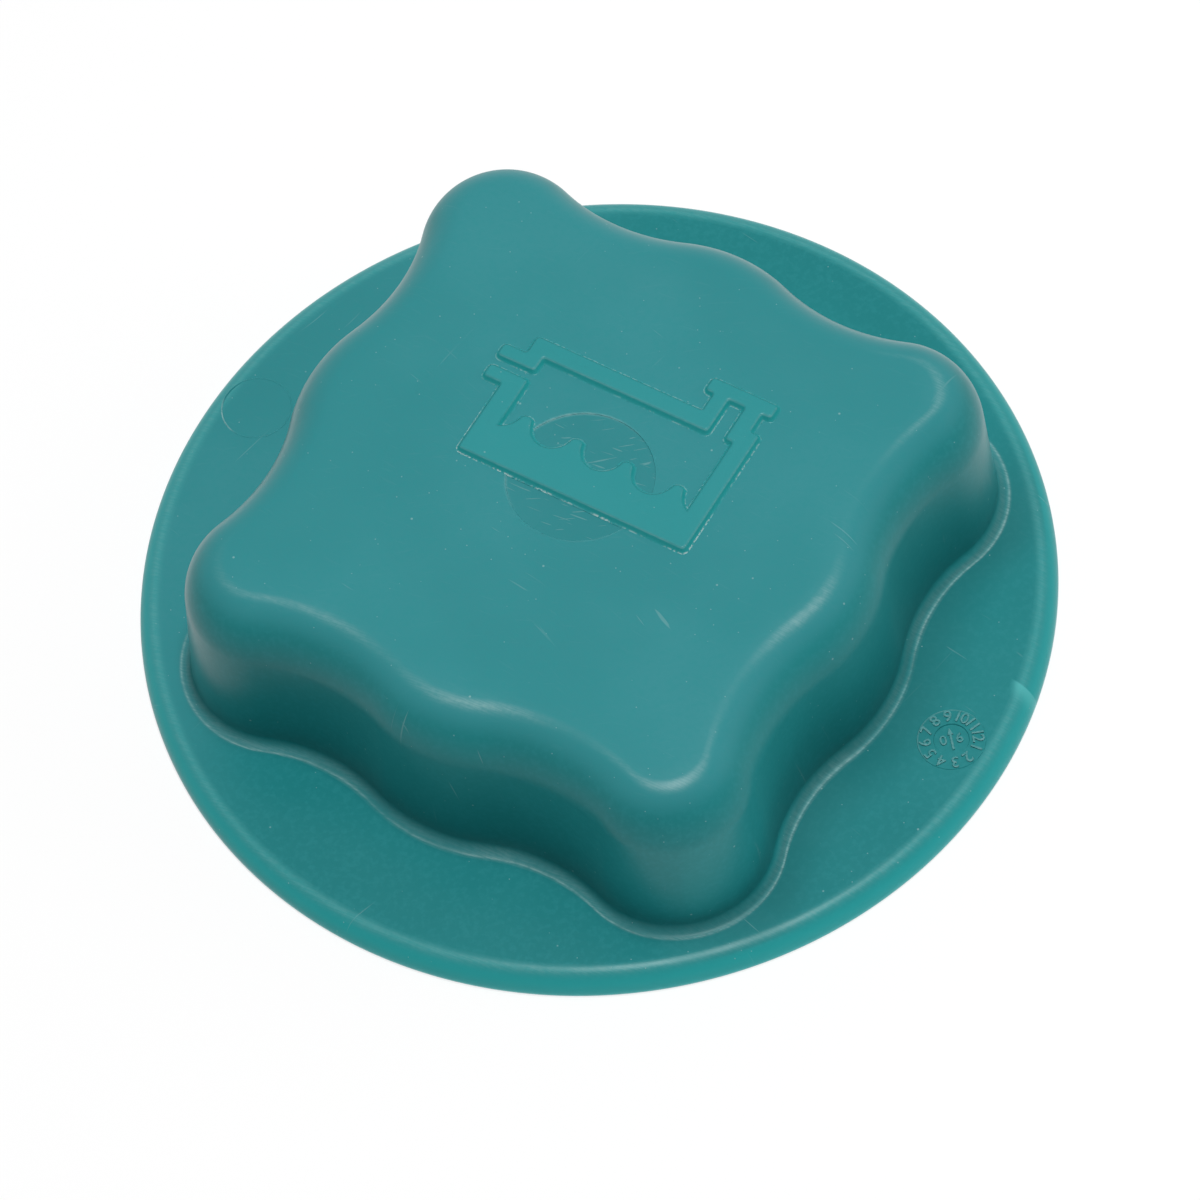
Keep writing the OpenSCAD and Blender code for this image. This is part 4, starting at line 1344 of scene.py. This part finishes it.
class CapSpringsOperator(bpy.types.Operator):
    """Build the pressure spring and the vacuum spring"""

    bl_idname = "pressure_cap.springs"
    bl_label = "Springs"

    def execute(self, context):
        valve = context.scene.pressure_cap.valve

        low, high = PRESSURE_COIL[0].z, PRESSURE_COIL[1].z
        skin = coil_skin(valve.pressure_coil_r, valve.pressure_wire, low, high, valve.pressure_turns)
        spring = new_object("main_coil", skin)
        dress(spring, drawn_steel, "cap", "spring_steel", "pressure_spring")
        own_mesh(spring)

        low, high = VACUUM_COIL[0].z, VACUUM_COIL[1].z
        skin = coil_skin(valve.vacuum_coil_r, valve.vacuum_wire, low, high, valve.vacuum_turns)
        spring = new_object("stem_coil", skin)
        dress(spring, drawn_steel, "pressure_valve", "spring_steel", "vacuum_spring")
        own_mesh(spring)
        return {"FINISHED"}


class CapPoppetOperator(bpy.types.Operator):
    """Build the vacuum poppet and the clip on its stem"""

    bl_idname = "pressure_cap.poppet"
    bl_label = "Vacuum poppet"

    def execute(self, context):
        valve = context.scene.pressure_cap.valve
        stem_r, chamfer, half_tip = valve.stem_r, valve.poppet_chamfer, valve.stem_tip / 2
        low, high, head_r = POPPET[0].z, POPPET[1].z, POPPET[1].x
        dimple_r, bend = 0.6 * MM, 0.12 * MM
        section = rounded([
            (0, low + dimple_r, 0), (dimple_r, low, 0.5 * bend), (head_r - chamfer, low),
            (head_r, low + chamfer), (head_r, SEAL[0].z), (stem_r, SEAL[0].z),
            (stem_r, high - half_tip), (stem_r - half_tip, high), (0, high, 0),
        ], bend)
        poppet = new_object("poppet", revolved(section))
        dress(poppet, turned_brass, "vacuum_valve", "poppet_brass", "vacuum_poppet")

        low, high, clip_r = CLIP[0].z, CLIP[1].z, CLIP[1].x
        corners = [(stem_r, low, 0.5 * bend), (clip_r, low), (clip_r, high), (stem_r, high, 0.5 * bend)]
        clip = new_object("clip", revolved(rounded(corners, bend)))
        drill(clip, valve.clip_tongues, stem_r, valve.clip_relief_r, low - MM, high + MM)
        dress(clip, drawn_steel, "vacuum_valve", "spring_steel", "vacuum_clip")
        return {"FINISHED"}


# The photograph's camera: angles in degrees, places in metres, the lens in millimetres
VIEW_AZIMUTH = -7.18
VIEW_ELEVATION = 58.37
VIEW_ROLL = -8.69
VIEW_DISTANCE = 674.5 * MM
VIEW_SIDE = 0.17 * MM
VIEW_RISE = -0.76 * MM
VIEW_LENS = 232.7
SENSOR_WIDTH = 36

# White tent: its soft light, and the reach, glow and colours of its floor
SKY_LEVEL = 0.37
SKY_DIM = 0.145
SKY_BRIGHTEST = (-0.1, 0.6, 0.79)
FLOOR_REACH = 4.0
FLOOR_GLOW = 0.72
WHITE = (1, 1, 1, 1)
PAPER = (0.95, 0.95, 0.95, 1)

# Soft boxes: name, place, size, watts, and whether they show in reflections
LAMPS = (
    ("overhead", (0.05, 0.0, 0.7), (0.21, 0.08), 3.8, True),
    ("side", (0.6, -0.05, 0.3), (0.4, 0.3), 0.5, False),
    ("under", (0.12, -0.4, -0.45), (0.5, 0.5), 2.6, False),
)


def add_camera():
    """Camera that sees the cap as the photograph does."""
    a, e, roll = (math.radians(x) for x in (VIEW_AZIMUTH, VIEW_ELEVATION, VIEW_ROLL))
    back = Vector((math.sin(a) * math.cos(e), -math.cos(a) * math.cos(e), math.sin(e)))
    level = Vector((math.cos(a), math.sin(a), 0))
    plumb = back.cross(level)
    right = math.cos(roll) * level + math.sin(roll) * plumb
    up = math.cos(roll) * plumb - math.sin(roll) * level
    lens = bpy.data.cameras.new("camera")
    lens.lens = VIEW_LENS
    lens.sensor_width = SENSOR_WIDTH
    lens.clip_start = 10 * MM
    camera = bpy.data.objects.new("camera", lens)
    turn = Matrix((right, up, back)).transposed().to_4x4()
    camera.matrix_world = Matrix.Translation(back * VIEW_DISTANCE + right * VIEW_SIDE + up * VIEW_RISE) @ turn
    bpy.context.scene.collection.objects.link(camera)
    bpy.context.scene.camera = camera


def add_lamp(name, place, size, watts, mirrored):
    """Soft box at a place, aimed at the cap."""
    lamp = bpy.data.lights.new(name, "AREA")
    lamp.shape = "RECTANGLE"
    lamp.size, lamp.size_y = size
    lamp.energy = watts
    holder = bpy.data.objects.new(name, lamp)
    holder.location = place
    holder.visible_glossy = mirrored
    holder.rotation_euler = (-Vector(place)).to_track_quat("-Z", "Y").to_euler()
    bpy.context.scene.collection.objects.link(holder)


def seen_rays(root):
    """1 for rays that show the surroundings to the camera, in a mirror or through glass."""
    path = root.node("ShaderNodeLightPath", out="Is Camera Ray")
    return path | path.also("Is Glossy Ray") | path.also("Is Transmission Ray")


def add_floor():
    """Pale floor that keeps the cap's shadow, lets lamps shine through and is clear from below."""
    reach = FLOOR_REACH
    corners = [(-reach, -reach, 0), (reach, -reach, 0), (reach, reach, 0), (-reach, reach, 0)]
    mesh = bpy.data.meshes.new("floor")
    mesh.from_pydata(corners, [], [(0, 1, 2, 3)])
    floor = bpy.data.objects.new("floor", mesh)
    bpy.context.scene.collection.objects.link(floor)
    material = bpy.data.materials.new("pale_floor")
    root = cleared(material)
    paper = root.node("ShaderNodeBsdfDiffuse", None, {"Color": PAPER})
    glow = root.node("ShaderNodeEmission", None, {"Color": WHITE, "Strength": 1.0})
    bright = blended(seen_rays(root) * FLOOR_GLOW, paper, glow)
    below = root.node("ShaderNodeNewGeometry", out="Backfacing")
    passed = below | root.node("ShaderNodeLightPath", out="Is Shadow Ray")
    shown = blended(passed, bright, root.node("ShaderNodeBsdfTransparent"))
    root.node("ShaderNodeOutputMaterial", None, {"Surface": shown})
    mesh.materials.append(material)


def add_sky():
    """White surroundings that light the cap softly from above the floor."""
    world = bpy.data.worlds.new("white_tent")
    root = cleared(world)
    way = root.node("ShaderNodeTexCoord", out="Generated")
    height = way.node("ShaderNodeSeparateXYZ", None, {"Vector": way}, "Z")
    toward = vector_math("DOT_PRODUCT", way, SKY_BRIGHTEST, out="Value")
    dark, dim, bright, white = (
        root.node("ShaderNodeBackground", None, {"Color": WHITE, "Strength": level})
        for level in (0, SKY_DIM, SKY_LEVEL, 1)
    )
    light = blended(rise(height, -0.02, 0.06), dark, blended(rise(toward, 0.1, 0.95), dim, bright))
    root.node("ShaderNodeOutputWorld", None, {"Surface": blended(seen_rays(root), light, white)})
    bpy.context.scene.world = world


class CapStageOperator(bpy.types.Operator):
    """Set up the pale floor, the soft light and the photograph's camera"""

    bl_idname = "pressure_cap.stage"
    bl_label = "Stage"

    def execute(self, context):
        context.scene.view_settings.view_transform = "Standard"
        add_floor()
        add_sky()
        for lamp in LAMPS:
            add_lamp(*lamp)
        add_camera()
        return {"FINISHED"}


OPERATORS = (
    CapShellOperator,
    CapSymbolOperator,
    CapFlangeMarksOperator,
    CapSealsOperator,
    CapHousingOperator,
    CapValvePlatesOperator,
    CapSpringsOperator,
    CapPoppetOperator,
    CapStageOperator,
)


class CapPanel(bpy.types.Panel):
    """Sizes, finishes and pieces of the pressure cap"""

    bl_idname = "VIEW3D_PT_pressure_cap"
    bl_label = "Pressure Cap"
    bl_space_type = "VIEW_3D"
    bl_region_type = "UI"
    bl_category = "Pressure Cap"

    def draw(self, context):
        settings = context.scene.pressure_cap
        for name in ("grip", "socket", "valve", "marks", "finish"):
            group = getattr(settings, name)
            box = self.layout.box()
            box.label(text=settings.bl_rna.properties[name].name)
            for key in group.__annotations__:
                box.prop(group, key)
        for operator in OPERATORS:
            self.layout.operator(operator.bl_idname)


GROUPS = (CapGripSizes, CapSocketSizes, CapValveSizes, CapMarkSizes, CapFinishes, CapSettings)


def register():
    for kind in (*GROUPS, *OPERATORS, CapPanel):
        bpy.utils.register_class(kind)
    bpy.types.Scene.pressure_cap = bpy.props.PointerProperty(
        type=CapSettings, name="Pressure cap", description="Sizes and finishes of the pressure cap"
    )


def unregister():
    del bpy.types.Scene.pressure_cap
    for kind in reversed((*GROUPS, *OPERATORS, CapPanel)):
        bpy.utils.unregister_class(kind)


def main():
    """Builds the cap on its stage."""
    register()
    bpy.ops.pressure_cap.shell()
    bpy.ops.pressure_cap.symbol()
    bpy.ops.pressure_cap.flange_marks()
    bpy.ops.pressure_cap.seals()
    bpy.ops.pressure_cap.housing()
    bpy.ops.pressure_cap.plates()
    bpy.ops.pressure_cap.springs()
    bpy.ops.pressure_cap.poppet()
    bpy.ops.pressure_cap.stage()


if __name__ == "__main__":
    main()
